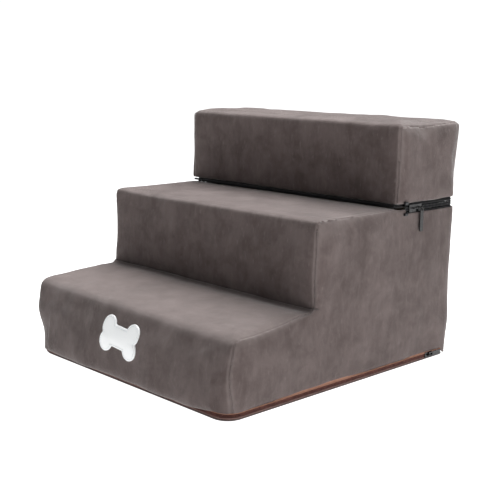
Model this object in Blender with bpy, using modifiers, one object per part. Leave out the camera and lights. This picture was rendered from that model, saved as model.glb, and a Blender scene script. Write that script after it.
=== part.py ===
"""Foam pet stairs: three foam steps in a zipped suede cover, on a zipped base cloth.

The top step is a block of its own. Its zip opens on three sides, and it then folds forward
about the tape along its foot, onto the middle tread. The base zip opens the base cloth, which
is sewn to the cover along the back.

Metres, +Z up. The stairs climb towards +Y, so the front is -Y, and +X is the side with the
two zip sliders. The origin is at the middle of the base, where it stands on the floor.
"""

import math

import bmesh
import bpy
from mathutils import Matrix

# Overall sizes of the stairs.
WIDTH = 0.370
TREAD_1 = 0.120
TREAD_2 = 0.1395
TOP_DEPTH = 0.1125
RISE_1 = 0.095
RISE_2 = 0.105
RISE_3 = 0.100

# Cloth, foam and the play between neighbours.
CLOTH = 0.002
FIT = 0.0003
EDGE = 0.012
FOOT = 0.006
BASE_CLOTH = 0.0024
LINING_INSET = 0.004

# The fold at the foot of the top step.
FOLD_GAP = 0.0016
FOLD_TAPE = 0.001
FOLD_TAPE_DEPTH = 0.014
FOLD_TAPE_PROUD = 0.001
FOLD_SHOWN = 0.002

# The black zip round the top step.
TOP_ZIP_DROP = 0.0027
TOP_ZIP_MESH = 0.0014
TOP_ZIP_COIL = 0.0023
TOP_ZIP_TAPE = 0.0022
TOP_ZIP_START = 0.015
TOP_ZIP_CORNER = 0.014

# The rust-coloured zip round the base.
BASE_ZIP_MESH = 0.0012
BASE_ZIP_COIL = 0.0011
BASE_ZIP_TAPE = 0.0014
BASE_ZIP_END = 0.012
BASE_CORNER = 0.024

# How far the zips stand in or out of the cover's side.
TAPE_THICK = 0.001
TAPE_SUNK = 0.0003
COIL_THICK = 0.0018
COIL_PROUD = 0.0002

# The zip sliders: two plates joined by a post at the mouth.
PLATE = 0.001
POST_HALF = 0.0004
POST_LENGTH = 0.004
CUT_PAST = 0.002
TOP_SLIDER_LENGTH = 0.024
TOP_SLIDER_HALF = 0.0045
TOP_SLIDER_PARKED = 0.022
BASE_SLIDER_LENGTH = 0.014
BASE_SLIDER_HALF = 0.0034
BASE_SLIDER_PARKED = 0.038

# Bridges and pulls.
WIRE = 0.0005
TOP_BRIDGE_STAND = 0.0027
TOP_BRIDGE_FRONT = 0.006
TOP_PULL_INSET = 0.003
RING_RADIUS = 0.0019
RING_WIRE = 0.00045
TAB_THICK = 0.001
TAB_ROUND = 0.9
TAB_HEEL_ROUND = 0.25
TAB_PUNCH = 0.004
TOP_TAB_LENGTH = 0.0285
TOP_TAB_WIDTH = 0.006
TOP_TAB_HOLE = 0.0012
TOP_TAB_RIM = 0.0009
BASE_BRIDGE_HALF = 0.0032
BASE_TAB_LENGTH = 0.024
BASE_TAB_WIDTH = 0.0056
BASE_TAB_WINDOW = 0.0032
BASE_TAB_WINDOW_LENGTH = 0.0062

# The bone patch on the lowest riser.
BONE_LOBE = 0.012
BONE_SPREAD = 0.0225
BONE_RISE = 0.00865
BONE_BAR = 0.0122
BONE_THICK = 0.0012
BONE_X = -0.0122
BONE_Z = 0.0503
BONE_TILT = math.radians(-3.5)

# How many straight steps stand for each curve.
ARC_STEPS = 5
WIRE_STEPS = 3
BEVEL_STEPS = 3
RING_STEPS = 20

# Places that follow from the sizes above.
SIDE = WIDTH / 2
DEPTH = TREAD_1 + TREAD_2 + TOP_DEPTH
FRONT = -DEPTH / 2
BACK = DEPTH / 2
RISER_2 = FRONT + TREAD_1
TOP_FRONT = RISER_2 + TREAD_2
LEVEL_1 = RISE_1
LEVEL_2 = RISE_1 + RISE_2
LEVEL_3 = LEVEL_2 + RISE_3
SKIN = CLOTH + FIT
TOP_BOTTOM = LEVEL_2 + FOLD_GAP
TOP_ZIP_LINE = LEVEL_2 - TOP_ZIP_DROP
TOP_BAND = TOP_ZIP_MESH / 2 + TOP_ZIP_COIL + FIT + TOP_ZIP_TAPE
BASE_BAND = BASE_ZIP_MESH / 2 + BASE_ZIP_COIL + FIT + BASE_ZIP_TAPE
BASE_ZIP_LINE = BASE_CLOTH + FIT + BASE_BAND
COVER_FOOT = BASE_ZIP_LINE + BASE_BAND + FIT
OUTER_PLATE = SIDE + COIL_PROUD + FIT
INNER_PLATE = SIDE + COIL_PROUD - COIL_THICK - FIT
TOP_SLIDER_FRONT = TOP_FRONT + TOP_SLIDER_PARKED
BASE_SLIDER_MIDDLE = BACK - BASE_SLIDER_PARKED

SUEDE = (0.165, 0.128, 0.118)
SUEDE_SHADE = (0.150, 0.116, 0.107)
FOAM = (0.78, 0.70, 0.48)
LINING = (0.10, 0.095, 0.095)
BLACK = (0.012, 0.012, 0.013)
RUST = (0.26, 0.10, 0.055)
DARK_RUST = (0.10, 0.028, 0.018)
WHITE = (0.80, 0.83, 0.82)
GUNMETAL = (0.30, 0.30, 0.31)


def clear_scene():
    for old in list(bpy.data.objects):
        bpy.data.objects.remove(old, do_unlink=True)


def material(name, colour, roughness, metallic=0.0):
    made = bpy.data.materials.new(name)
    made.use_nodes = True
    shader = made.node_tree.nodes["Principled BSDF"]
    shader.inputs["Base Color"].default_value = (*colour, 1.0)
    shader.inputs["Roughness"].default_value = roughness
    shader.inputs["Metallic"].default_value = metallic
    made.diffuse_color = (*colour, 1.0)
    return made


def finish(obj, colour, roughness, metallic=0.0):
    """Moves an object into the stairs' collection and gives it a material of its own."""
    for holder in list(obj.users_collection):
        holder.objects.unlink(obj)
    stairs.objects.link(obj)
    obj.data.materials.clear()
    obj.data.materials.append(material(obj.name + "_finish", colour, roughness, metallic))
    return obj


def mesh_object(name, shape):
    """Makes an object from a bmesh, with its faces pointing out."""
    bmesh.ops.recalc_face_normals(shape, faces=shape.faces)
    mesh = bpy.data.meshes.new(name)
    shape.to_mesh(mesh)
    shape.free()
    obj = bpy.data.objects.new(name, mesh)
    bpy.context.scene.collection.objects.link(obj)
    return obj


def rounded(corners, closed=False, steps=ARC_STEPS):
    """A path through (a, b, radius) corners, with an arc of that radius at each."""
    points = []
    count = len(corners)
    for i, (a, b, radius) in enumerate(corners):
        ends = not closed and i in (0, count - 1)
        if radius == 0 or ends:
            points.append((a, b))
            continue
        before = corners[i - 1]
        after = corners[(i + 1) % count]
        to_before = math.atan2(before[1] - b, before[0] - a)
        to_after = math.atan2(after[1] - b, after[0] - a)
        turn = (to_after - to_before + math.pi) % (2 * math.pi) - math.pi
        away = radius / math.tan(abs(turn) / 2)
        middle = radius / math.sin(abs(turn) / 2)
        centre_angle = to_before + turn / 2
        centre = (a + middle * math.cos(centre_angle), b + middle * math.sin(centre_angle))
        start = (a + away * math.cos(to_before), b + away * math.sin(to_before))
        first = math.atan2(start[1] - centre[1], start[0] - centre[0])
        sweep = -math.copysign(math.pi - abs(turn), turn)
        for step in range(steps + 1):
            angle = first + sweep * step / steps
            points.append(
                (centre[0] + radius * math.cos(angle), centre[1] + radius * math.sin(angle))
            )
    return points


def ribbon(name, path, place, low, high, thickness):
    """A strip swept from low to high across a flat path, made solid on the path's inner side."""
    shape = bmesh.new()
    verts = [shape.verts.new(place(a, b, low)) for a, b in path]
    edges = [shape.edges.new(pair) for pair in zip(verts, verts[1:])]
    swept = bmesh.ops.extrude_edge_only(shape, edges=edges)["geom"]
    far = [v for v in swept if isinstance(v, bmesh.types.BMVert)]
    across = place(0, 0, high) - place(0, 0, low)
    bmesh.ops.translate(shape, verts=far, vec=across)
    mesh = bpy.data.meshes.new(name)
    shape.to_mesh(mesh)
    shape.free()
    obj = bpy.data.objects.new(name, mesh)
    bpy.context.scene.collection.objects.link(obj)
    solid = obj.modifiers.new("Wall", "SOLIDIFY")
    solid.thickness = thickness
    solid.offset = -1
    solid.use_even_offset = True
    return obj


def side_view(a, b, across):
    return Matrix.Translation((across, a, b)).translation


def plan_view(a, b, across):
    return Matrix.Translation((a, b, across)).translation


def sheet(name, outline, thickness, frame):
    """A flat closed outline as a solid sheet, centred on the plane that frame places."""
    curve = bpy.data.curves.new(name, "CURVE")
    curve.dimensions = "2D"
    curve.fill_mode = "BOTH"
    curve.extrude = thickness / 2
    spline = curve.splines.new("POLY")
    spline.points.add(len(outline) - 1)
    for point, (a, b) in zip(spline.points, outline):
        point.co = (a, b, 0, 1)
    spline.use_cyclic_u = True
    obj = bpy.data.objects.new(name, curve)
    obj.matrix_world = frame
    bpy.context.scene.collection.objects.link(obj)
    return obj


def facing_x(x):
    """A frame whose first axis is +Y, second is +Z and third is +X, at the given x."""
    turn = Matrix.Rotation(math.pi / 2, 4, "Z") @ Matrix.Rotation(math.pi / 2, 4, "X")
    return Matrix.Translation((x, 0, 0)) @ turn


def facing_front(y):
    """A frame whose first axis is +X, second is +Z and third is -Y, at the given y."""
    return Matrix.Translation((0, y, 0)) @ Matrix.Rotation(math.pi / 2, 4, "X")


def box_shape(low, high):
    shape = bmesh.new()
    bmesh.ops.create_cube(shape, size=1)
    size = [h - l for l, h in zip(low, high)]
    middle = [(h + l) / 2 for l, h in zip(low, high)]
    bmesh.ops.scale(shape, vec=size, verts=shape.verts)
    bmesh.ops.translate(shape, vec=middle, verts=shape.verts)
    return shape


def block(name, low, high):
    """A box from its lowest to its highest corner."""
    return mesh_object(name, box_shape(low, high))


def foam_block(name, low, high, corner, round_bottom):
    """A foam block: upright edges rounded to the corner radius, then its rims to EDGE."""
    shape = box_shape(low, high)
    upright = [
        edge for edge in shape.edges if abs(edge.verts[0].co.z - edge.verts[1].co.z) > FIT
    ]
    bmesh.ops.bevel(
        shape, geom=upright, offset=corner, segments=BEVEL_STEPS, profile=0.5, affect="EDGES"
    )
    rims = [high[2], low[2]] if round_bottom else [high[2]]
    for level in rims:
        rim = [
            edge
            for edge in shape.edges
            if all(abs(vert.co.z - level) < FIT / 10 for vert in edge.verts)
            and any(abs(face.normal.z) < 0.5 for face in edge.link_faces)
        ]
        bmesh.ops.bevel(
            shape, geom=rim, offset=EDGE, segments=BEVEL_STEPS, profile=0.5, affect="EDGES"
        )
    return mesh_object(name, shape)


def wire(name, points, radius, cyclic=False):
    """A round wire along a run of points."""
    curve = bpy.data.curves.new(name, "CURVE")
    curve.dimensions = "3D"
    curve.bevel_depth = radius
    curve.bevel_resolution = 2
    curve.use_fill_caps = not cyclic
    spline = curve.splines.new("POLY")
    spline.points.add(len(points) - 1)
    for point, place in zip(spline.points, points):
        point.co = (*place, 1)
    spline.use_cyclic_u = cyclic
    obj = bpy.data.objects.new(name, curve)
    bpy.context.scene.collection.objects.link(obj)
    return obj


def cutter(name, low, high):
    obj = block(name, low, high)
    for holder in list(obj.users_collection):
        holder.objects.unlink(obj)
    cutters.objects.link(obj)
    obj.hide_render = True
    obj.display_type = "WIRE"
    return obj


def cut(obj, tool):
    step = obj.modifiers.new("Cut " + tool.name, "BOOLEAN")
    step.operation = "DIFFERENCE"
    step.solver = "EXACT"
    step.object = tool


def hang(obj, pivot):
    """Parents a piece to the empty that stands on its joint's axis, leaving it where it is."""
    place = obj.matrix_world.copy()
    obj.parent = pivot
    obj.matrix_parent_inverse = pivot.matrix_world.inverted()
    obj.matrix_world = place


def pivot_at(name, place):
    empty = bpy.data.objects.new(name, None)
    empty.empty_display_size = 0.02
    empty.matrix_world = Matrix.Translation(place)
    stairs.objects.link(empty)
    return empty


def foams():
    """The three foam blocks, a cloth's thickness inside the cover."""
    inset = SIDE - SKIN
    bottom_top = LEVEL_1 - SKIN
    bottom = foam_block(
        "bottom_foam",
        (-inset, FRONT + SKIN, BASE_CLOTH + FIT),
        (inset, BACK - SKIN, bottom_top),
        max(BASE_CORNER, EDGE) + FIT,
        round_bottom=True,
    )
    middle = foam_block(
        "middle_foam",
        (-inset, RISER_2 + SKIN, bottom_top + FIT),
        (inset, BACK - SKIN, LEVEL_2 - SKIN),
        max(TOP_ZIP_CORNER, EDGE) + FIT,
        round_bottom=False,
    )
    upper = foam_block(
        "upper_foam",
        (-inset, TOP_FRONT + SKIN, TOP_BOTTOM + SKIN),
        (inset, BACK - SKIN, LEVEL_3 - SKIN),
        max(TOP_ZIP_CORNER, EDGE) + FIT,
        round_bottom=True,
    )
    for foam in (bottom, middle, upper):
        finish(foam, FOAM, 0.9)
    return upper


def lower_cover():
    """The suede cover of the two lower steps: front strip, two stair-shaped ends and the back."""
    reach = SIDE - SKIN
    strip_end = TOP_FRONT + FOLD_TAPE_PROUD
    strip = rounded(
        [
            (FRONT, COVER_FOOT, 0),
            (FRONT, LEVEL_1, EDGE),
            (RISER_2, LEVEL_1, FOOT),
            (RISER_2, LEVEL_2, EDGE),
            (strip_end, LEVEL_2, 0),
        ]
    )
    front = ribbon("lower_cover", strip, side_view, -reach, reach, CLOTH)
    finish(front, SUEDE, 0.95)

    zip_start = TOP_FRONT + TOP_ZIP_START - FIT
    under_zip = TOP_ZIP_LINE - TOP_BAND - FIT
    outline = rounded(
        [
            (FRONT, COVER_FOOT, 0),
            (BACK, COVER_FOOT, 0),
            (BACK, under_zip, 0),
            (zip_start, under_zip, 0),
            (zip_start, LEVEL_2, 0),
            (RISER_2, LEVEL_2, EDGE),
            (RISER_2, LEVEL_1, FOOT),
            (FRONT, LEVEL_1, EDGE),
        ],
        closed=True,
    )
    for name, x in (("lower_side_right", SIDE), ("lower_side_left", -SIDE)):
        middle = math.copysign(abs(x) - CLOTH / 2, x)
        finish(sheet(name, outline, CLOTH, facing_x(middle)), SUEDE, 0.95)

    back = block(
        "lower_back",
        (-reach, BACK - CLOTH, BASE_CLOTH + FIT),
        (reach, BACK, under_zip),
    )
    finish(back, SUEDE_SHADE, 0.95)

    lining_edge = SIDE - LINING_INSET
    lining = rounded(
        [
            (-lining_edge, strip_end + FIT, 0),
            (lining_edge, strip_end + FIT, 0),
            (lining_edge, BACK - LINING_INSET, TOP_ZIP_CORNER),
            (-lining_edge, BACK - LINING_INSET, TOP_ZIP_CORNER),
        ],
        closed=True,
    )
    level = Matrix.Translation((0, 0, LEVEL_2 - CLOTH / 2))
    finish(sheet("lower_lining", lining, CLOTH, level), LINING, 0.9)


def fold_tape():
    """The black tape that the top step folds about, along its foot."""
    edge = SIDE - LINING_INSET
    bottom = LEVEL_2 + FIT
    tape = block(
        "fold_hinge_tape",
        (-edge, TOP_FRONT - FOLD_TAPE_PROUD, bottom),
        (edge, TOP_FRONT + FOLD_TAPE_DEPTH, bottom + FOLD_TAPE),
    )
    finish(tape, BLACK, 0.85)


def upper_cover(foam):
    """The top step's suede cover and lining, hung on the fold."""
    fold = pivot_at("upper_step_fold", (0, TOP_FRONT, TOP_BOTTOM - FOLD_GAP / 2))
    hang(foam, fold)
    over_zip = TOP_ZIP_LINE + TOP_BAND + FIT
    reach = SIDE - SKIN
    strip = rounded(
        [
            (TOP_FRONT, TOP_BOTTOM + FOLD_SHOWN, 0),
            (TOP_FRONT, LEVEL_3, EDGE),
            (BACK, LEVEL_3, EDGE),
            (BACK, over_zip, 0),
        ]
    )
    cover = ribbon("upper_cover", strip, side_view, -reach, reach, CLOTH)
    hang(finish(cover, SUEDE, 0.95), fold)

    outline = rounded(
        [
            (TOP_FRONT, over_zip, 0),
            (BACK, over_zip, 0),
            (BACK, LEVEL_3, EDGE),
            (TOP_FRONT, LEVEL_3, EDGE),
        ],
        closed=True,
    )
    for name, x in (("upper_side_right", SIDE), ("upper_side_left", -SIDE)):
        middle = math.copysign(abs(x) - CLOTH / 2, x)
        hang(finish(sheet(name, outline, CLOTH, facing_x(middle)), SUEDE, 0.95), fold)

    edge = SIDE - LINING_INSET
    lining = rounded(
        [
            (-edge, TOP_FRONT + SKIN, 0),
            (edge, TOP_FRONT + SKIN, 0),
            (edge, BACK - LINING_INSET, TOP_ZIP_CORNER),
            (-edge, BACK - LINING_INSET, TOP_ZIP_CORNER),
        ],
        closed=True,
    )
    level = Matrix.Translation((0, 0, TOP_BOTTOM + CLOTH / 2))
    hang(finish(sheet("upper_lining", lining, CLOTH, level), LINING, 0.9), fold)
    return fold


def zip_half(name, end, turn, radius, band, proud, thickness):
    """One strip of a zip, round three sides: from (side, end), past turn, to the other side."""
    edge = SIDE + proud
    far = math.copysign(abs(turn) + proud, turn)
    path = rounded([(edge, end, 0), (edge, far, radius), (-edge, far, radius), (-edge, end, 0)])
    if turn > 0:
        path.reverse()
    low, high = band
    return ribbon(name, path, plan_view, low, high, thickness)


def zip_strips(label, line, mesh, coil, tape, end, turn, radius, colours):
    """Both halves of a zip: a coil each side of the line, and a tape beyond each coil."""
    made = {}
    for side, up in (("top", 1), ("bottom", -1)):
        coil_near = line + up * mesh / 2
        coil_far = coil_near + up * coil
        tape_near = coil_far + up * FIT
        tape_far = tape_near + up * tape
        coil_band = sorted((coil_near, coil_far))
        tape_band = sorted((tape_near, tape_far))
        coil_strip = zip_half(
            f"{label}_zip_coil_{side}", end, turn, radius, coil_band, COIL_PROUD, COIL_THICK
        )
        tape_strip = zip_half(
            f"{label}_zip_tape_{side}", end, turn, radius, tape_band, -TAPE_SUNK, TAPE_THICK
        )
        finish(coil_strip, colours[0], 0.5)
        finish(tape_strip, colours[1], 0.85)
        made[side] = (coil_strip, tape_strip)
    return made


def slider_body(name, middle, length, half, line, mouth):
    """A slider: an outer and an inner plate with channels for both coils, joined at the mouth."""
    low_y = middle - length / 2
    high_y = middle + length / 2
    body = block(
        name,
        (INNER_PLATE - PLATE, low_y, line - half),
        (OUTER_PLATE + PLATE, high_y, line + half),
    )
    for side in (-1, 1):
        near = line + side * POST_HALF
        away = line + side * (half + CUT_PAST)
        channel = cutter(
            f"{name}_channel_{'upper' if side > 0 else 'lower'}",
            (INNER_PLATE, low_y - CUT_PAST, min(near, away)),
            (OUTER_PLATE, high_y + CUT_PAST, max(near, away)),
        )
        cut(body, channel)
    web_from = low_y + POST_LENGTH if mouth < 0 else low_y - CUT_PAST
    web_to = high_y + CUT_PAST if mouth < 0 else high_y - POST_LENGTH
    web = cutter(
        f"{name}_throat",
        (INNER_PLATE, web_from, line - 2 * POST_HALF),
        (OUTER_PLATE, web_to, line + 2 * POST_HALF),
    )
    cut(body, web)
    return finish(body, GUNMETAL, 0.3, 1.0)


def bridge(name, y_from, y_to, stand, line):
    """The wire bridge over a slider, from its foot at y_from to its foot at y_to."""
    foot = OUTER_PLATE + PLATE + FIT
    path = rounded(
        [(foot, y_from, 0), (foot + stand, y_from, WIRE), (foot + stand, y_to, WIRE), (foot, y_to, 0)],
        steps=WIRE_STEPS,
    )
    points = [(x, y, line) for x, y in path]
    return finish(wire(name, points, WIRE), GUNMETAL, 0.25, 1.0)


def circle(a, b, radius, count=16):
    """The points of a circle about (a, b)."""
    turns = [2 * math.pi * step / count for step in range(count)]
    return [(a + radius * math.cos(turn), b + radius * math.sin(turn)) for turn in turns]


def to_mesh(obj):
    """Turns a filled curve into a mesh object, welded so that it can be cut."""
    graph = bpy.context.evaluated_depsgraph_get()
    graph.update()
    mesh = bpy.data.meshes.new_from_object(obj.evaluated_get(graph))
    shape = bmesh.new()
    shape.from_mesh(mesh)
    bmesh.ops.remove_doubles(shape, verts=shape.verts, dist=1e-6)
    bmesh.ops.recalc_face_normals(shape, faces=shape.faces)
    shape.to_mesh(mesh)
    shape.free()
    name = obj.name
    place = obj.matrix_world.copy()
    bpy.data.objects.remove(obj, do_unlink=True)
    solid = bpy.data.objects.new(name, mesh)
    solid.matrix_world = place
    bpy.context.scene.collection.objects.link(solid)
    return solid


def punch(name, outline, frame, thickness):
    """A cutter with the given outline, through a sheet of the given thickness."""
    tool = to_mesh(sheet(name, outline, thickness, frame))
    for holder in list(tool.users_collection):
        holder.objects.unlink(tool)
    cutters.objects.link(tool)
    tool.hide_render = True
    tool.display_type = "WIRE"
    return tool


def top_slider():
    """The black zip's slider, parked near the front, with its pull hanging from the bridge."""
    middle = TOP_SLIDER_FRONT + TOP_SLIDER_LENGTH / 2
    body = slider_body(
        "top_slider", middle, TOP_SLIDER_LENGTH, TOP_SLIDER_HALF, TOP_ZIP_LINE, mouth=-1
    )
    rear = TOP_SLIDER_FRONT + TOP_SLIDER_LENGTH
    over = bridge(
        "top_slider_bridge",
        TOP_SLIDER_FRONT + TOP_BRIDGE_FRONT,
        rear - WIRE,
        TOP_BRIDGE_STAND,
        TOP_ZIP_LINE,
    )
    slide = pivot_at("top_zip_slide", (SIDE, middle, TOP_ZIP_LINE))
    hang(body, slide)
    hang(over, slide)

    bar_x = OUTER_PLATE + PLATE + FIT + TOP_BRIDGE_STAND
    hang_y = rear - TOP_PULL_INSET
    ring_z = TOP_ZIP_LINE - (RING_RADIUS - RING_WIRE - WIRE - FIT)
    loop = [(x, hang_y, z) for x, z in circle(bar_x, ring_z, RING_RADIUS, count=RING_STEPS)]
    ring = finish(wire("top_pull_ring", loop, RING_WIRE, cyclic=True), GUNMETAL, 0.25, 1.0)

    hole_z = ring_z - RING_RADIUS - (TOP_TAB_HOLE - RING_WIRE - FIT)
    tab_top = hole_z + TOP_TAB_HOLE + TOP_TAB_RIM
    half_width = TOP_TAB_WIDTH / 2
    corner = half_width * TAB_ROUND
    flat = rounded(
        [
            (hang_y - half_width, tab_top - TOP_TAB_LENGTH, corner),
            (hang_y + half_width, tab_top - TOP_TAB_LENGTH, corner),
            (hang_y + half_width, tab_top, corner),
            (hang_y - half_width, tab_top, corner),
        ],
        closed=True,
    )
    tab = to_mesh(sheet("top_pull_tab", flat, TAB_THICK, facing_x(bar_x)))
    hole = circle(hang_y, hole_z, TOP_TAB_HOLE)
    cut(tab, punch("top_pull_tab_hole", hole, facing_x(bar_x), TAB_PUNCH))
    finish(tab, GUNMETAL, 0.3, 1.0)

    swing = pivot_at("top_pull_swing", (bar_x, hang_y, TOP_ZIP_LINE))
    hang(swing, slide)
    hang(ring, swing)
    hang(tab, swing)


def base_slider():
    """The base zip's slider, parked at the back, with its pull lying along the zip."""
    middle = BASE_SLIDER_MIDDLE
    body = slider_body(
        "base_slider", middle, BASE_SLIDER_LENGTH, BASE_SLIDER_HALF, BASE_ZIP_LINE, mouth=1
    )
    bar_half = TAB_THICK / 2
    bar_x = OUTER_PLATE + PLATE + FIT + bar_half
    stand = TAB_THICK + FIT + WIRE
    over = bridge(
        "base_slider_bridge",
        middle - BASE_BRIDGE_HALF,
        middle + BASE_BRIDGE_HALF,
        stand,
        BASE_ZIP_LINE,
    )
    slide = pivot_at("base_zip_slide", (SIDE, middle, BASE_ZIP_LINE))
    hang(body, slide)
    hang(over, slide)

    half_width = BASE_TAB_WIDTH / 2
    corner = half_width * TAB_ROUND
    heel = half_width * TAB_HEEL_ROUND
    near = middle - bar_half
    flat = rounded(
        [
            (near, BASE_ZIP_LINE - half_width, heel),
            (near + BASE_TAB_LENGTH, BASE_ZIP_LINE - half_width, corner),
            (near + BASE_TAB_LENGTH, BASE_ZIP_LINE + half_width, corner),
            (near, BASE_ZIP_LINE + half_width, heel),
        ],
        closed=True,
    )
    tab = to_mesh(sheet("base_pull_tab", flat, TAB_THICK, facing_x(bar_x)))
    window_from = middle + bar_half
    window = rounded(
        [
            (window_from, BASE_ZIP_LINE - BASE_TAB_WINDOW / 2, 0),
            (window_from + BASE_TAB_WINDOW_LENGTH, BASE_ZIP_LINE - BASE_TAB_WINDOW / 2, 0),
            (window_from + BASE_TAB_WINDOW_LENGTH, BASE_ZIP_LINE + BASE_TAB_WINDOW / 2, 0),
            (window_from, BASE_ZIP_LINE + BASE_TAB_WINDOW / 2, 0),
        ],
        closed=True,
    )
    cut(tab, punch("base_pull_tab_window", window, facing_x(bar_x), TAB_PUNCH))
    finish(tab, GUNMETAL, 0.3, 1.0)
    swing = pivot_at("base_pull_swing", (bar_x, middle, BASE_ZIP_LINE))
    hang(swing, slide)
    hang(tab, swing)


def base_panel():
    """The base cloth, sewn to the cover along the back."""
    edge = SIDE - FIT
    outline = rounded(
        [
            (-edge, FRONT + FIT, BASE_CORNER),
            (edge, FRONT + FIT, BASE_CORNER),
            (edge, BACK - FIT, BASE_CORNER),
            (-edge, BACK - FIT, BASE_CORNER),
        ],
        closed=True,
    )
    level = Matrix.Translation((0, 0, BASE_CLOTH / 2))
    cloth = finish(sheet("base_cloth", outline, BASE_CLOTH, level), LINING, 0.9)
    opens = pivot_at("base_panel_open", (0, BACK - FIT, BASE_CLOTH + FIT / 2))
    hang(cloth, opens)
    return opens


def bone_patch():
    """The bone-shaped patch: four round lobes joined by a bar."""
    reach = math.acos((BONE_BAR - BONE_RISE) / BONE_LOBE)
    notch = math.asin(BONE_RISE / BONE_LOBE)
    steps = 12
    lobe = []
    for step in range(steps + 1):
        angle = -notch + (math.pi / 2 + reach + notch) * step / steps
        lobe.append(
            (BONE_SPREAD + BONE_LOBE * math.cos(angle), BONE_RISE + BONE_LOBE * math.sin(angle))
        )
    right = lobe[1:]
    outline = [lobe[0]] + right
    outline += [(-x, z) for x, z in reversed(right)]
    outline += [(-lobe[0][0], lobe[0][1])]
    outline += [(-x, -z) for x, z in right]
    outline += [(x, -z) for x, z in reversed(right)]
    frame = (
        facing_front(FRONT - FIT - BONE_THICK / 2)
        @ Matrix.Translation((BONE_X, BONE_Z, 0))
        @ Matrix.Rotation(BONE_TILT, 4, "Z")
    )
    finish(sheet("bone_patch", outline, BONE_THICK, frame), WHITE, 0.4)


clear_scene()
stairs = bpy.data.collections.new("Pet stairs")
cutters = bpy.data.collections.new("Cutters")
bpy.context.scene.collection.children.link(stairs)
bpy.context.scene.collection.children.link(cutters)

top_foam = foams()
lower_cover()
fold_tape()
top_fold = upper_cover(top_foam)
bone_patch()
bottom_open = base_panel()

top_zip = zip_strips(
    "upper",
    TOP_ZIP_LINE,
    TOP_ZIP_MESH,
    TOP_ZIP_COIL,
    TOP_ZIP_TAPE,
    TOP_FRONT + TOP_ZIP_START,
    BACK,
    TOP_ZIP_CORNER,
    (BLACK, BLACK),
)
for strip in top_zip["top"]:
    hang(strip, top_fold)

base_zip = zip_strips(
    "base",
    BASE_ZIP_LINE,
    BASE_ZIP_MESH,
    BASE_ZIP_COIL,
    BASE_ZIP_TAPE,
    BACK - BASE_ZIP_END,
    FRONT,
    BASE_CORNER,
    (DARK_RUST, RUST),
)
for strip in base_zip["bottom"]:
    hang(strip, bottom_open)

top_slider()
base_slider()
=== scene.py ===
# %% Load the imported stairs
import math

import bmesh
import bpy
import numpy as np
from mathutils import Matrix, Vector


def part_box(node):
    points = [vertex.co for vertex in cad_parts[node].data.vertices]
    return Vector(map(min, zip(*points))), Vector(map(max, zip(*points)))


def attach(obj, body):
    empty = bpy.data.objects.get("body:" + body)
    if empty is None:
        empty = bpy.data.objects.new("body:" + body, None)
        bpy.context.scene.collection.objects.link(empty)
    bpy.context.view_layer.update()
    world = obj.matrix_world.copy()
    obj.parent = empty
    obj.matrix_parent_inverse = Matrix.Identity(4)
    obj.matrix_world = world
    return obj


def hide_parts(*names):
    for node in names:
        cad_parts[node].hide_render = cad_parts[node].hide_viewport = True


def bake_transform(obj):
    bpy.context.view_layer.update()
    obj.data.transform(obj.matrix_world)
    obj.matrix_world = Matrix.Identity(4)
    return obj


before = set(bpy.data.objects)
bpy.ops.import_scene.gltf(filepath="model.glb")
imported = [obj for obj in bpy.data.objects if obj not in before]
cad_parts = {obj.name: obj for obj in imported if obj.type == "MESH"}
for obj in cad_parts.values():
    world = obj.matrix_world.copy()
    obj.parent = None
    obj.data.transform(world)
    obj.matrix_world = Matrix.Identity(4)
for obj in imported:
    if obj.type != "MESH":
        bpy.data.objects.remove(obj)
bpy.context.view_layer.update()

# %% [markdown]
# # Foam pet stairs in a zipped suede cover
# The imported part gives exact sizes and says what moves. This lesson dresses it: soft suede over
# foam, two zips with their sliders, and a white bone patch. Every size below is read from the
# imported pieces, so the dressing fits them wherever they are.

side_low, side_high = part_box("lower_side_right")
SIDE, FRONT, BACK = side_high.x, side_low.y, side_high.y
FOOT, LEVEL_2 = side_low.z, side_high.z
foam_low, foam_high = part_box("middle_foam")
SKIN = LEVEL_2 - foam_high.z
RISER_2 = foam_low.y - SKIN
LEVEL_1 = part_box("bottom_foam")[1].z + SKIN
top_low, top_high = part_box("upper_side_right")
TOP_FRONT, TOP_FOOT, LEVEL_3 = top_low.y, top_low.z, top_high.z
print("half width", round(SIDE, 4), "levels", [round(z, 4) for z in (LEVEL_1, LEVEL_2, LEVEL_3)])

# %% [markdown]
# ## Camera
# A product picture is taken with a long lens from a little above, so that upright edges stay
# almost upright. The camera stands at the front right corner of the stairs.

# %% Place the camera
camera = bpy.data.objects.new("camera", bpy.data.cameras.new("camera"))
bpy.context.scene.collection.objects.link(camera)
camera.location = (0.8851, -0.8384, 0.3649)
camera.rotation_euler = [math.radians(angle) for angle in (79.18, -0.66, 46.28)]
camera.data.sensor_width = 36
camera.data.lens = 70.1
bpy.context.scene.camera = camera
print("camera", [round(value, 3) for value in camera.location])

# %% [markdown]
# ## Floor and light
# The stairs stand in a white studio. A broad light hangs over them and behind, so the treads are
# the lightest surfaces and the risers, which face away from it, are the darkest. The floor glows
# a little, which keeps the shadow at the foot of the stairs faint.

# %% Lay the floor
bpy.context.scene.view_settings.view_transform = "Standard"


def deselect():
    """Leave nothing selected."""
    if bpy.context.mode != "OBJECT":
        bpy.ops.object.mode_set(mode="OBJECT")
    bpy.ops.object.select_all(action="DESELECT")


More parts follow.
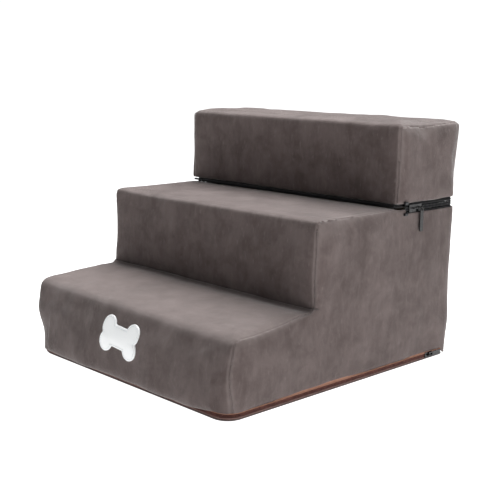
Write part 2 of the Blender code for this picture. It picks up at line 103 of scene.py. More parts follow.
FLOOR_SIZE, FLOOR_DROP = 60, 0.0004
deselect()
bpy.ops.mesh.primitive_plane_add(size=FLOOR_SIZE, location=(0, 0, -FLOOR_DROP))
floor = bpy.context.active_object
floor.name = "studio_floor"
floor_paint = bpy.data.materials.new("white_floor")
floor_paint.use_nodes = True
floor_shader = floor_paint.node_tree.nodes["Principled BSDF"]
floor_shader.inputs["Base Color"].default_value = (0.3, 0.3, 0.3, 1)
floor_shader.inputs["Roughness"].default_value = 0.9
floor_shader.inputs["Emission Color"].default_value = (1, 1, 1, 1)
floor_shader.inputs["Emission Strength"].default_value = 1.12
floor.data.materials.append(floor_paint)
print("floor", FLOOR_SIZE, "m wide")

# %% [markdown]
# The camera sees a plain white backdrop, but that white would light the stairs from all
# sides and flatten them. So the world has two strengths: a bright one that only the camera
# sees and a dim bluish one that lights.

# %% Hang the lights
world = bpy.data.worlds.new("studio")
bpy.context.scene.world = world
world.use_nodes = True
world_nodes = world.node_tree.nodes
world_links = world.node_tree.links
sky = world_nodes["Background"]
sky.inputs["Color"].default_value = (0.95, 0.97, 1.0, 1)
sky.inputs["Strength"].default_value = 0.18
backdrop = world_nodes.new("ShaderNodeBackground")
backdrop.inputs["Color"].default_value = (1, 1, 1, 1)
backdrop.inputs["Strength"].default_value = 1.05
seen = world_nodes.new("ShaderNodeLightPath")
either = world_nodes.new("ShaderNodeMixShader")
world_links.new(seen.outputs["Is Camera Ray"], either.inputs["Fac"])
world_links.new(sky.outputs["Background"], either.inputs[1])
world_links.new(backdrop.outputs["Background"], either.inputs[2])
world_links.new(either.outputs["Shader"], world_nodes["World Output"].inputs["Surface"])


def soft_light(name, place, aim, size, watts):
    """A square light that looks at a point."""
    light = bpy.data.lights.new(name, "AREA")
    light.size = size
    light.energy = watts
    lamp = bpy.data.objects.new(name, light)
    lamp.location = place
    lamp.rotation_euler = (Vector(aim) - Vector(place)).to_track_quat("-Z", "Y").to_euler()
    bpy.context.scene.collection.objects.link(lamp)
    return lamp


soft_light("overhead", (-0.3, 0.6, 1.75), (0, 0, 0.15), 1.3, 75)
soft_light("right_hand", (1.5, 0.15, 0.12), (0, 0, 0.1), 0.8, 8.2)
print("lights", len(bpy.data.lights))

# %% [markdown]
# ## Materials
# Four effects are shared by several finishes, so each is a node group: it takes a size and puts out
# a mask. Suede needs three of them: cloudy shade where the nap was brushed, streaks along the
# brushing, and the fine fibre that roughens its face.


# %% A helper for node groups
def node_group(name, inputs, outputs):
    """An empty shader group with named number inputs and outputs, and its two end nodes."""
    group = bpy.data.node_groups.new(name, "ShaderNodeTree")
    for label, value in inputs:
        socket = group.interface.new_socket(label, in_out="INPUT", socket_type="NodeSocketFloat")
        socket.default_value = value
    for label in outputs:
        group.interface.new_socket(label, in_out="OUTPUT", socket_type="NodeSocketFloat")
    start = group.nodes.new("NodeGroupInput")
    end = group.nodes.new("NodeGroupOutput")
    return group, start, end


def scaled_noise(group, stretch, detail, roughness):
    """Noise on the piece's own coordinates, stretched by three factors, in a group."""
    place = group.nodes.new("ShaderNodeTexCoord")
    turn = group.nodes.new("ShaderNodeMapping")
    turn.inputs["Scale"].default_value = stretch
    noise = group.nodes.new("ShaderNodeTexNoise")
    noise.inputs["Detail"].default_value = detail
    noise.inputs["Roughness"].default_value = roughness
    group.links.new(place.outputs["Object"], turn.inputs["Vector"])
    group.links.new(turn.outputs["Vector"], noise.inputs["Vector"])
    return noise


def spread(group, value, low, high):
    """Stretch the middle of a noise, low to high, over 0 to 1."""
    ramp = group.nodes.new("ShaderNodeMapRange")
    ramp.interpolation_type = "SMOOTHSTEP"
    ramp.inputs["From Min"].default_value = low
    ramp.inputs["From Max"].default_value = high
    group.links.new(value, ramp.inputs["Value"])
    return ramp.outputs["Result"]


print("helpers ready:", node_group.__name__, scaled_noise.__name__, spread.__name__)

# %% [markdown]
# Nap lies in soft-edged patches, so its mask is a bent, detailed noise with its middle
# stretched. Brushing leaves short marks, which are the same noise squeezed across the stroke.
# The marks need two directions, because walls are brushed upright and treads across.

# %% Cloudy nap
cloud_group, cloud_in, cloud_out = node_group("nap_clouds", [("Scale", 40.0)], ["Mask"])
cloud = scaled_noise(cloud_group, (1, 1, 1), 5, 0.62)
cloud_group.links.new(cloud_in.outputs["Scale"], cloud.inputs["Scale"])
cloud.inputs["Distortion"].default_value = 0.4
cloudy = spread(cloud_group, cloud.outputs["Fac"], 0.34, 0.66)
cloud_group.links.new(cloudy, cloud_out.inputs["Mask"])
print("clouds of", cloud.inputs["Detail"].default_value, "octaves")


# %% Brushed streaks
def streak_group(name, stretch):
    """Short brush marks that run along the axis with the smallest stretch."""
    group, start, end = node_group(name, [("Scale", 1.0)], ["Mask"])
    marks = scaled_noise(group, stretch, 3, 0.55)
    group.links.new(start.outputs["Scale"], marks.inputs["Scale"])
    group.links.new(spread(group, marks.outputs["Fac"], 0.38, 0.75), end.inputs["Mask"])
    return group


fleck_group, fleck_in, fleck_out = node_group("brush_flecks", [("Scale", 1.0)], ["Mask"])
fleck = scaled_noise(fleck_group, (330, 330, 110), 2, 0.5)
fleck_group.links.new(fleck_in.outputs["Scale"], fleck.inputs["Scale"])
faint = fleck_group.nodes.new("ShaderNodeMath")
faint.operation = "MULTIPLY"
faint.inputs[1].default_value = 0.22
fleck_group.links.new(spread(fleck_group, fleck.outputs["Fac"], 0.6, 0.78), faint.inputs[0])
fleck_group.links.new(faint.outputs["Value"], fleck_out.inputs["Mask"])
upright_streaks = streak_group("upright_streaks", (150, 150, 48))
level_streaks = streak_group("level_streaks", (40, 150, 150))
print("streaks", upright_streaks.name, level_streaks.name)

# %% [markdown]
# The fibre is finer than a millimetre, so it is only a height for the bumps.

# %% Fine fibre
fibre_group, fibre_in, fibre_out = node_group("fibre", [("Scale", 1400.0)], ["Height"])
fibre = scaled_noise(fibre_group, (1, 1, 1), 3, 0.7)
fibre_group.links.new(fibre_in.outputs["Scale"], fibre.inputs["Scale"])
fibre_group.links.new(fibre.outputs["Fac"], fibre_out.inputs["Height"])
print("groups", [group.name for group in bpy.data.node_groups])


# %% Helpers that fill a material
def new_material(name, roughness, metallic=0.0):
    """A material with its Principled shader, ready for colour and relief."""
    made = bpy.data.materials.new(name)
    made.use_nodes = True
    shader = made.node_tree.nodes["Principled BSDF"]
    shader.inputs["Roughness"].default_value = roughness
    shader.inputs["Metallic"].default_value = metallic
    return made, made.node_tree, shader


def use_group(tree, group, scale=None):
    """Put a shared group in a material, with its own scale."""
    node = tree.nodes.new("ShaderNodeGroup")
    node.node_tree = group
    if scale is not None:
        node.inputs["Scale"].default_value = scale
    return node.outputs[0]


def blend_colours(tree, mask, low, high):
    """Mix from one colour to another by a mask. Each may be a colour or an output."""
    mix = tree.nodes.new("ShaderNodeMix")
    mix.data_type = "RGBA"
    tree.links.new(mask, mix.inputs[0])
    for socket, colour in ((mix.inputs[6], low), (mix.inputs[7], high)):
        if isinstance(colour, tuple):
            socket.default_value = (*colour, 1)
        else:
            tree.links.new(colour, socket)
    return mix.outputs[2]


def blend_numbers(tree, mask, low, high):
    """The same for two numbers or masks."""
    mix = tree.nodes.new("ShaderNodeMix")
    if hasattr(mask, "links"):
        tree.links.new(mask, mix.inputs[0])
    else:
        mix.inputs[0].default_value = mask
    for socket, value in ((mix.inputs[2], low), (mix.inputs[3], high)):
        if hasattr(value, "links"):
            tree.links.new(value, socket)
        else:
            socket.default_value = value
    return mix.outputs[0]


def relief(tree, shader, height, strength, distance, under=None):
    """Send a height to the shader as bumps, on top of any bumps under it."""
    bump = tree.nodes.new("ShaderNodeBump")
    bump.inputs["Strength"].default_value = strength
    bump.inputs["Distance"].default_value = distance
    tree.links.new(height, bump.inputs["Height"])
    if under is not None:
        tree.links.new(under, bump.inputs["Normal"])
    tree.links.new(bump.outputs["Normal"], shader.inputs["Normal"])
    return bump.outputs["Normal"]


def painted(tree, name):
    """A number that was stored on the piece's own points."""
    node = tree.nodes.new("ShaderNodeAttribute")
    node.attribute_name = name
    return node.outputs["Fac"]


print("helpers ready:", new_material.__name__, use_group.__name__, relief.__name__)

# %% [markdown]
# Suede is dark in the cut and pale at grazing angles, because the fibre tips scatter light. Sheen
# gives that. The brush marks run upright on walls and across on treads, so each piece stores on
# its points how level it is, and the material chooses its streaks by that.


# %% Suede
def suede(name, dark, mid, light):
    """Brushed suede, with a painted highlight on its seams and painted light on the first tread."""
    made, tree, shader = new_material(name, 0.92)
    clouds = use_group(tree, cloud_group, 42)
    wide = use_group(tree, cloud_group, 11)
    streaks = blend_numbers(
        tree,
        painted(tree, "level"),
        use_group(tree, upright_streaks, 1),
        use_group(tree, level_streaks, 1),
    )
    mottle = blend_numbers(tree, 0.5, clouds, wide)
    nap = blend_numbers(tree, 0.2, mottle, streaks)
    colour = blend_colours(tree, nap, dark, mid)
    colour = blend_colours(tree, use_group(tree, fleck_group, 1), colour, light)
    # Painted light: the first tread is painted lighter, towards the light colour.
    colour = blend_colours(tree, painted(tree, "painted_tread_light"), colour, light)
    # Painted highlight: the shoulders of each seam are painted lighter.
    seam_highlighted = blend_colours(tree, painted(tree, "seam"), colour, light)
    tree.links.new(seam_highlighted, shader.inputs["Base Color"])
    fibres = use_group(tree, fibre_group, 1300)
    first = relief(tree, shader, fibres, 0.55, 0.0006)
    relief(tree, shader, nap, 0.25, 0.0012, first)
    shader.inputs["Specular IOR Level"].default_value = 0.12
    shader.inputs["Sheen Weight"].default_value = 0.55
    shader.inputs["Sheen Roughness"].default_value = 0.38
    shader.inputs["Sheen Tint"].default_value = (0.82, 0.83, 0.82, 1)
    return made


SUEDE = suede("suede", (0.088, 0.066, 0.062), (0.168, 0.133, 0.127), (0.27, 0.23, 0.22))
print(SUEDE.name, "has", len(SUEDE.node_tree.nodes), "nodes")

# %% [markdown]
# ## The soft forms
# Each cover starts as a plain block the size of the real one. Its edges are rounded, it is
# remeshed to even squares, and Cloth blows it up a little while its rims are held, which is
# what foam that is slightly too big for its cover does. Only then are the seams pressed in
# and the form parted into the panels that a sewer would cut.


# %% Helpers for modelling
def only(piece):
    """Make this piece the one that is selected and active."""
    deselect()
    piece.select_set(True)
    bpy.context.view_layer.objects.active = piece


def block(name, low, high):
    """A cube that fills the space from low to high, with its place in its mesh."""
    deselect()
    low, high = Vector(low), Vector(high)
    bpy.ops.mesh.primitive_cube_add(size=1, location=(low + high) / 2, scale=high - low)
    piece = bpy.context.active_object
    piece.name = name
    bpy.ops.object.transform_apply(location=True, rotation=True, scale=True)
    return piece


def choose(piece, kind, test):
    """In edit mode, select the VERT, EDGE or FACE items that pass a test."""
    only(piece)
    bpy.ops.object.mode_set(mode="EDIT")
    bpy.ops.mesh.select_mode(type=kind)
    bpy.ops.mesh.select_all(action="DESELECT")
    shape = bmesh.from_edit_mesh(piece.data)
    items = {"VERT": shape.verts, "EDGE": shape.edges, "FACE": shape.faces}[kind]
    chosen = 0
    for item in items:
        if test(item):
            item.select_set(True)
            chosen += 1
    bmesh.update_edit_mesh(piece.data)
    return chosen


def slice_at(piece, point, normal):
    """Cut every face along a plane, and keep both sides."""
    only(piece)
    bpy.ops.object.mode_set(mode="EDIT")
    bpy.ops.mesh.select_all(action="SELECT")
    bpy.ops.mesh.bisect(plane_co=point, plane_no=normal, threshold=0.00002)
    bpy.ops.object.mode_set(mode="OBJECT")


def delete_faces(piece, test):
    """Remove the faces that pass a test."""
    if choose(piece, "FACE", test):
        bpy.ops.mesh.delete(type="FACE")
    bpy.ops.object.mode_set(mode="OBJECT")


def apply(piece, kind, **settings):
    """Add a modifier with these settings and apply it."""
    only(piece)
    modifier = piece.modifiers.new(kind.lower(), kind)
    for key, value in settings.items():
        setattr(modifier, key, value)
    bpy.ops.object.modifier_apply(modifier=modifier.name)


def points_of(piece):
    """The piece's points as an array."""
    flat = np.empty(len(piece.data.vertices) * 3)
    piece.data.vertices.foreach_get("co", flat)
    return flat.reshape(-1, 3)


def normals_of(piece):
    """The directions in which the piece's points face."""
    flat = np.empty(len(piece.data.vertices) * 3)
    piece.data.vertices.foreach_get("normal", flat)
    return flat.reshape(-1, 3)


def move_points(piece, points):
    """Put the piece's points in new places."""
    piece.data.vertices.foreach_set("co", points.ravel())
    piece.data.update()


def store(piece, name, values):
    """Keep a number at each point, for the material to read."""
    layer = piece.data.attributes.new(name, "FLOAT", "POINT")
    layer.data.foreach_set("value", np.asarray(values, np.float32))


def ease(value):
    """0 below 0, 1 above 1, and smooth between."""
    value = np.clip(value, 0, 1)
    return value * value * (3 - 2 * value)


print("helpers ready:", block.__name__, choose.__name__, slice_at.__name__, apply.__name__)

# %% [markdown]
# Cloth with pressure inside swells the way a stuffed cover does, fullest far from what holds
# it. A tight cover can't swell far, so each move is squeezed under a cap with a curve that
# leaves small moves alone.


# %% Blow a cover up
FRAMES, PRESSURE, STIFFNESS = 20, 4, 20


def puff(piece, held, cap):
    """Cloth with inner pressure, while the held points stay. No point moves more than cap."""
    before = points_of(piece)
    group = piece.vertex_groups.new(name="held")
    group.add([int(i) for i in np.flatnonzero(held(before))], 1.0, "REPLACE")
    only(piece)
    cloth = piece.modifiers.new("cloth", "CLOTH")
    cloth.settings.vertex_group_mass = "held"
    cloth.settings.use_pressure = True
    cloth.settings.uniform_pressure_force = PRESSURE
    cloth.settings.effector_weights.gravity = 0
    cloth.settings.tension_stiffness = STIFFNESS
    cloth.settings.compression_stiffness = STIFFNESS
    for step in range(1, FRAMES + 1):
        bpy.context.scene.frame_set(step)
    bpy.ops.object.modifier_apply(modifier=cloth.name)
    bpy.context.scene.frame_set(1)
    shift = points_of(piece) - before
    far = np.linalg.norm(shift, axis=1)
    limited = cap * np.tanh(far / cap) / np.maximum(far, 1e-9)
    move_points(piece, before + shift * limited[:, None])
    print(piece.name, "swelled by up to", round(float((far * limited).max()) * 1000, 1), "mm")


print("each cover swells for", FRAMES, "frames")

# %% [markdown]
# The lower form is a stair of two steps. It begins as a low block: its back part is raised
# to the second level by an extrusion, the way the real foam is stacked. The outer edges
# get a wide rounding and the fold at the foot of the second riser a small one.

# %% Block out the two lower steps
PROUD = 0.0014
LOW_NOSING = 0.014
HIGH_NOSING = 0.009
TREAD_EDGE = 0.006
UPRIGHT = 0.0055
INNER_EDGE = 0.0015
VOXEL = 0.004
ZIP_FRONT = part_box("upper_zip_tape_bottom")[0].y
ZIP_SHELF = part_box("upper_zip_tape_bottom")[0].z

OUT_X, OUT_FRONT, OUT_BACK = SIDE + PROUD, FRONT - PROUD, BACK + PROUD
lower = block("lower_form", (-OUT_X, OUT_FRONT, FOOT), (OUT_X, OUT_BACK, LEVEL_1))
slice_at(lower, (0, RISER_2, 0), (0, 1, 0))
choose(lower, "FACE", lambda face: face.normal.z > 0.9 and face.calc_center_median().y > RISER_2)
bpy.ops.mesh.extrude_region_move(TRANSFORM_OT_translate={"value": (0, 0, LEVEL_2 - LEVEL_1)})
bpy.ops.object.mode_set(mode="OBJECT")
slice_at(lower, (0, TOP_FRONT + 0.004, 0), (0, 1, 0))


def near(value, target):
    return abs(value - target) < 0.0005


def edge_ends(edge):
    """The middle of an edge and the direction that it runs in."""
    a, b = (vert.co for vert in edge.verts)
    return (a + b) / 2, (b - a).normalized()


def low_nosing(edge):
    """True for the front edge of the first tread."""
    middle, run = edge_ends(edge)
    return abs(run.x) > 0.9 and near(middle.y, OUT_FRONT) and near(middle.z, LEVEL_1)


def high_nosing(edge):
    """True for the front edge of the second tread."""
    middle, run = edge_ends(edge)
    return abs(run.x) > 0.9 and near(middle.y, RISER_2) and near(middle.z, LEVEL_2)


def tread_end(edge):
    """True for the edges where the treads meet the ends."""
    middle, run = edge_ends(edge)
    low_one = near(middle.z, LEVEL_1) and middle.y < RISER_2
    high_one = near(middle.z, LEVEL_2) and middle.y < TOP_FRONT
    return abs(run.y) > 0.9 and near(abs(middle.x), OUT_X) and (low_one or high_one)


def upright(edge):
    """True for the upright edges at the corners of both steps."""
    middle, run = edge_ends(edge)
    corner_y = near(middle.y, OUT_FRONT) or near(middle.y, OUT_BACK) or near(middle.y, RISER_2)
    return abs(run.z) > 0.9 and near(abs(middle.x), OUT_X) and corner_y


def inner_edge(edge):
    """True for the fold where the second riser meets the first tread."""
    middle, run = edge_ends(edge)
    return abs(run.x) > 0.9 and near(middle.y, RISER_2) and near(middle.z, LEVEL_1)


for test, width, steps in (
    (low_nosing, LOW_NOSING, 5),
    (high_nosing, HIGH_NOSING, 4),
    (tread_end, TREAD_EDGE, 3),
    (upright, UPRIGHT, 2),
    (inner_edge, INNER_EDGE, 2),
):
    print(test.__name__, choose(lower, "EDGE", test))
    bpy.ops.mesh.bevel(offset=width, segments=steps, affect="EDGES", clamp_overlap=True)
    bpy.ops.object.mode_set(mode="OBJECT")

# %% [markdown]
# The upper step is a single block. Only the edges round its foot stay sharp, because the
# zip is sewn there.

# %% Block out the upper step
upper = block("upper_form", (-OUT_X, TOP_FRONT - PROUD, TOP_FOOT), (OUT_X, OUT_BACK, LEVEL_3))


def upper_edge(edge):
    """True for every edge of the upper block but those round its foot."""
    middle, run = edge_ends(edge)
    return abs(run.z) > 0.9 or near(middle.z, LEVEL_3)


print("rounded edges", choose(upper, "EDGE", upper_edge))
bpy.ops.mesh.bevel(offset=UPRIGHT, segments=2, affect="EDGES", clamp_overlap=True)
bpy.ops.object.mode_set(mode="OBJECT")


# %% [markdown]
# Remesh turns both forms into even squares of 4 mm, which cloth needs. Everything that is
# sewn or rests on foam is held, and the rest swells. Smooth then takes the stair-steps of
# the remesh away, and Subdivision gives enough points for seams.

# %% Swell both forms
SWELL = 0.0018


def held_lower(points):
    """The rim at the base, the fold at the second riser and all that lies under the top step."""
    rim = points[:, 2] < FOOT + 0.006
    under = (points[:, 1] > TOP_FRONT - 0.004) & (points[:, 2] > ZIP_SHELF - 0.004)
    fold = (np.abs(points[:, 1] - RISER_2) < 0.012) & (np.abs(points[:, 2] - LEVEL_1) < 0.012)
    return rim | under | fold


def held_upper(points):
    """The foot of the upper step."""
    return points[:, 2] < TOP_FOOT + 0.005


for form, held in ((lower, held_lower), (upper, held_upper)):
    apply(form, "REMESH", mode="VOXEL", voxel_size=VOXEL)
    puff(form, held, SWELL)
    apply(form, "SMOOTH", factor=0.5, iterations=1)
    apply(form, "SUBSURF", levels=1, render_levels=1)
    print(form.name, len(form.data.polygons), "faces")

# %% [markdown]
# Foam in a cover is never quite flat. The treads dip a little in the middle, the base pulls in
# at its corners where the zip goes round, and the cloth ripples softly all over. These are
# small, smooth moves of the points, each with its own reach.

# %% Tools for slack
BASE_CORNER = 0.02
LEFT_CORNER = 0.038
BACK_CORNER = 0.01
FOOT_OUT, NOSE_OUT, BACK_OUT = 0.01, 0.001, 0.003
BELLY, TREAD_RISE, TREAD_FALL, FOLD_PULL = 0.0025, 0.0025, 0.0042, 0.0016
TREAD_1 = RISER_2 - FRONT


def tuck_corners(points, reach, foot):
    """Round the plan corners more and more towards the foot, the front left one most."""
    amount = ease((foot + reach - points[:, 2]) / reach)
    for side, front_corner in ((-1, LEFT_CORNER), (1, BASE_CORNER)):
        for y_edge, out, radius in ((FRONT, -1, front_corner), (BACK, 1, BACK_CORNER)):
            centre = np.array([side * (SIDE - radius), y_edge - out * radius])
            away = points[:, :2] - centre
            beyond = (away[:, 0] * side > 0) & (away[:, 1] * out > 0)
            far = np.linalg.norm(away, axis=1)
            over = beyond & (far > radius)
            pulled = centre + away * (radius / np.maximum(far, 1e-9))[:, None]
            share = (amount * over)[:, None]
            points[:, :2] += (pulled - points[:, :2]) * share
    return points


def lean_out(points):
    """Lean the lowest riser out towards its foot, and push the back out a little."""
    share = ease((RISER_2 - points[:, 1]) / (TREAD_1 - 0.03))
    low_down = ease((LEVEL_1 - points[:, 2]) / (LEVEL_1 - FOOT))
    points[:, 1] -= share * (NOSE_OUT + (FOOT_OUT - NOSE_OUT) * low_down)
    points[:, 1] += BACK_OUT * ease((points[:, 1] - BACK + 0.05) / 0.05)
    return points


def belly(points):
    """Push the lowest riser forward in its middle."""
    at_front = np.exp(-(((points[:, 1] - FRONT + FOOT_OUT) / 0.03) ** 2))
    across = np.clip(1 - (points[:, 0] / SIDE) ** 4, 0, 1)
    low_down = ease((LEVEL_1 - points[:, 2]) / 0.05)
    points[:, 1] -= BELLY * at_front * across * low_down
    return points


def slope_tread(points):
    """Raise the first tread at its fold and lower it at its nosing, where feet have pressed it."""
    near_tread = ease((points[:, 2] - LEVEL_1 + 0.03) / 0.03) * (points[:, 2] < LEVEL_1 + 0.004)
    before_fold = ease((RISER_2 + 0.02 - points[:, 1]) / 0.02)
    slope = ease((RISER_2 - 0.015 - points[:, 1]) / (TREAD_1 - 0.03))
    to_right = (points[:, 0] + SIDE) / (2 * SIDE)
    fall = (TREAD_FALL + TREAD_FALL * to_right) * slope
    points[:, 2] += near_tread * before_fold * (TREAD_RISE - fall)
    return points


def press_fold(points):
    """Draw the cloth into the fold at the foot of the second riser."""
    off = np.hypot(points[:, 1] - RISER_2, points[:, 2] - LEVEL_1 - TREAD_RISE)
    inside = ease((SIDE - 0.001 - np.abs(points[:, 0])) / 0.006)
    pull = FOLD_PULL * np.exp(-((off / 0.006) ** 2)) * inside
    points[:, 1] += pull
    points[:, 2] -= pull
    return points


def dip(points, centre, half, depth):
    """Press a shallow hollow into a level surface."""
    across = np.clip(1 - ((points[:, 0] - centre[0]) / half[0]) ** 2, 0, 1)
    along = np.clip(1 - ((points[:, 1] - centre[1]) / half[1]) ** 2, 0, 1)
    level = np.exp(-(((points[:, 2] - centre[2]) / 0.012) ** 2))
    points[:, 2] -= depth * across * along * level
    return points


print("the foot leans out by", FOOT_OUT * 1000, "mm and the back by", BACK_OUT * 1000, "mm")

# %% [markdown]
# The tools are used in turn: first the corners of the foot, then the lean, the belly, the
# slope of the first tread, its fold, and a shallow hollow in each tread. The top block is
# fuller at its rear, where nothing holds it.

# %% Give the forms their slack
DIP, REAR_OUT, REAR_LEAN, REAR_WIDE, LEFT_WIDE = 0.0015, 0.004, 0.005, 0.002, 0.0025
lower_points = belly(lean_out(tuck_corners(points_of(lower), 0.05, FOOT)))
lower_points = press_fold(slope_tread(lower_points))
lower_points = dip(lower_points, (0.02, (FRONT + RISER_2) / 2, LEVEL_1), (SIDE, 0.06), DIP)
lower_points = dip(lower_points, (0, (RISER_2 + TOP_FRONT) / 2, LEVEL_2), (SIDE, 0.07), DIP)
move_points(lower, lower_points)

upper_points = points_of(upper)
high_up = ease((upper_points[:, 2] - TOP_FOOT) / (LEVEL_3 - TOP_FOOT))
at_rear = ease((upper_points[:, 1] - BACK + 0.07) / 0.07)
at_left = ease((-SIDE + 0.03 - upper_points[:, 0]) / 0.03)
upper_points[:, 1] += (REAR_OUT + REAR_LEAN * high_up) * at_rear
upper_points[:, 0] += REAR_WIDE * high_up * at_rear * np.sign(upper_points[:, 0])
upper_points[:, 0] -= LEFT_WIDE * at_left
move_points(upper, upper_points)
print("leant and hollowed", lower.name, "and", upper.name)

# %% [markdown]
# Two soft noises move the cloth in and out, a wide one and a narrow one. The second tread and
# the front of the top block have to meet when the top step folds forward, so what swells
# past their planes is pressed back, as it would be by the foam behind.

# %% Ripple the cloth
SWELLING, RIPPLE = 0.004, 0.0016
ripples = bpy.data.textures.new("ripples", "CLOUDS")
ripples.noise_scale = 0.045
swells = bpy.data.textures.new("swells", "CLOUDS")
swells.noise_scale = 0.12
for form in (lower, upper):
    for texture, strength in ((swells, SWELLING), (ripples, RIPPLE)):
        apply(
            form,
            "DISPLACE",
            texture=texture,
            texture_coords="LOCAL",
            strength=strength,
            mid_level=0.5,
        )


def pressed(height, limit, reach):
    """Heights that pass limit are pressed together, so that none passes limit + reach."""
    over = np.maximum(height - limit, 0)
    return np.minimum(height, limit) + reach * (1 - np.exp(-over / reach))


GIVE = 0.004
lower_points = points_of(lower)
lower_points[:, 2] = pressed(lower_points[:, 2], LEVEL_2 - 0.0045, GIVE)
move_points(lower, lower_points)
upper_points = points_of(upper)
upper_points[:, 1] = -pressed(-upper_points[:, 1], -TOP_FRONT - 0.0035, GIVE)
move_points(upper, upper_points)
print("slack added to", lower.name, "and", upper.name)

# %% [markdown]
# ## Seams and panels
# The cover is sewn from one long front panel, two ends and a back. The seams run along the
# rounded edges. Each is a narrow groove, so the form is first cut along the seam and just
# beside it, and the points there are pressed in. Then the panels are parted and given the
# thickness of cloth, inwards, so the outside stays where it is.

# %% A tool for seams
SEAM_IN, GROOVE, GROOVE_HALF, PUCKER = 0.0022, 0.0006, 0.0011, 0.011
SEAM_X = SIDE - SEAM_IN
SEAM_Y = BACK + BACK_OUT - SEAM_IN


def press_seams(form):
    """Cut the three seam planes and their shoulders, and press the seams in."""
    for beside in (-0.0028, -0.0014, 0, 0.0014):
        slice_at(form, (SEAM_X + beside, 0, 0), (1, 0, 0))
        slice_at(form, (-SEAM_X - beside, 0, 0), (-1, 0, 0))
        slice_at(form, (0, SEAM_Y + beside, 0), (0, 1, 0))
    points = points_of(form)
    from_ends = np.abs(np.abs(points[:, 0]) - SEAM_X)
    from_back = np.abs(points[:, 1] - SEAM_Y)
    off = np.minimum(from_ends, from_back)
    groove = np.exp(-((off / GROOVE_HALF) ** 2))
    pucker = 1 + 0.3 * np.sin(points.sum(axis=1) * 2 * math.pi / PUCKER)
    move_points(form, points - normals_of(form) * (GROOVE * groove * pucker)[:, None])
    shoulder = np.exp(-(((off - 0.0012) / 0.0012) ** 2))
    # Painted highlight: how much lighter the suede is painted beside each seam.
    store(form, "seam", 0.3 * shoulder * (0.6 + 0.4 * pucker))
    level = ease((normals_of(form)[:, 2] - 0.3) / 0.5)
    store(form, "level", level)
    # Painted light: the top of the first tread is marked to be painted lighter.
    store(form, "painted_tread_light", 0.28 * level * (points[:, 2] < LEVEL_1 + 0.01))


print("seams run", SEAM_IN * 1000, "mm inside the ends and the back")

# %% [markdown]
# Where the zip, the lining or the base closes a form, its faces are deleted. Cutting along
# each border first makes the rims straight.

# %% Open the forms where other pieces close them
HEM = 0.0006
slice_at(lower, (0, 0, ZIP_SHELF), (0, 0, 1))
slice_at(lower, (0, ZIP_FRONT, 0), (0, 1, 0))
slice_at(lower, (0, TOP_FRONT + 0.001, 0), (0, 1, 0))
slice_at(lower, (0, 0, FOOT + HEM), (0, 0, 1))
slice_at(upper, (0, 0, TOP_FOOT + HEM), (0, 0, 1))
press_seams(lower)
press_seams(upper)


def lower_opening(face):
    """True for the faces of the lower form that the zip, the lining or the base stands for."""
    middle = face.calc_center_median()
    under_foot = middle.z < FOOT + HEM
    above_zip = middle.y > ZIP_FRONT and middle.z > ZIP_SHELF
    facing_top = face.normal.z > 0.6 and middle.z > ZIP_SHELF - 0.01
    under_top = middle.y > TOP_FRONT + 0.001 and facing_top
    return under_foot or above_zip or under_top


def upper_opening(face):
    """True for the faces under the upper form."""
    return face.calc_center_median().z < TOP_FOOT + HEM


delete_faces(lower, lower_opening)
delete_faces(upper, upper_opening)
print("opened", lower.name, "and", upper.name)

# %% [markdown]
# The cover hangs lower at the front than at the ends, so that it hides most of the zip there.
# Its rim is drawn down and a little outwards, over the front and round the left corner. At the
# back it reaches down over the edge that the base cloth hangs from.

# %% Draw the rim down
RIM_DROP, RIM_OUT, RIM_REACH = 0.0046, 0.0018, 0.02
END_DROP, BACK_DROP = 0.0020, FOOT - 0.0029


def draw_rim(form):
    """Draw the form's rim down by what each stretch of it needs."""
    points = points_of(form)
    low_down = ease((FOOT + RIM_REACH - points[:, 2]) / RIM_REACH)
    along_front = ease((SIDE - 0.012 - points[:, 0]) / 0.06) * (points[:, 1] < FRONT + BASE_CORNER)
    along_left = ease((FRONT + 0.1 - points[:, 1]) / 0.07) * (points[:, 0] < 0)
    share = low_down * np.maximum(along_front, along_left)
    outward = normals_of(form)[:, :2]
    points[:, :2] += outward * (RIM_OUT * share)[:, None]
    along_back = ease((points[:, 1] - BACK + 0.012) / 0.01)
    points[:, 2] -= END_DROP * low_down + RIM_DROP * share + BACK_DROP * low_down * along_back
    move_points(form, points)


draw_rim(lower)
print("rim at", round(float(points_of(lower)[:, 2].min()) * 1000, 1), "mm")

# %% [markdown]
# Each form is parted along its seams. Solidify then thickens every panel inwards.


# %% Part the forms into panels
SUEDE_CLOTH = 0.0012


def part_off(form, name, test):
    """Separate the faces that pass a test into a panel of their own."""
    choose(form, "FACE", test)
    bpy.ops.mesh.separate(type="SELECTED")
    bpy.ops.object.mode_set(mode="OBJECT")
    made = [piece for piece in bpy.context.selected_objects if piece is not form][0]
    made.name = name
    made.data.name = name
    return made


def behind(face):
    """True past the back seam."""
    return face.calc_center_median().y > SEAM_Y


def panels(form, front_name, left_name, right_name, back_name=None):
    """The form's panels by name: what is left after the ends and the back is the front."""
    made = {}
    if back_name:
        made[back_name] = part_off(form, back_name, behind)
    made[left_name] = part_off(form, left_name, lambda face: face.calc_center_median().x < -SEAM_X)
    made[right_name] = part_off(form, right_name, lambda face: face.calc_center_median().x > SEAM_X)
    form.name = front_name
    form.data.name = front_name
    made[front_name] = form
    return made


lower_panels = panels(
    lower, "suede_lower_front", "suede_lower_left", "suede_lower_right", "suede_lower_back"
)
upper_panels = panels(upper, "suede_upper_front", "suede_upper_left", "suede_upper_right")


def finish_panel(piece, body, node):
    """Give a panel its thickness, finish and place in the frame."""
    apply(piece, "SOLIDIFY", thickness=SUEDE_CLOTH, offset=-1)
    piece.data.materials.append(SUEDE)
    for face in piece.data.polygons:
        face.use_smooth = True
    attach(piece, body)
    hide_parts(node)
    print(piece.name, len(piece.data.polygons), "faces")


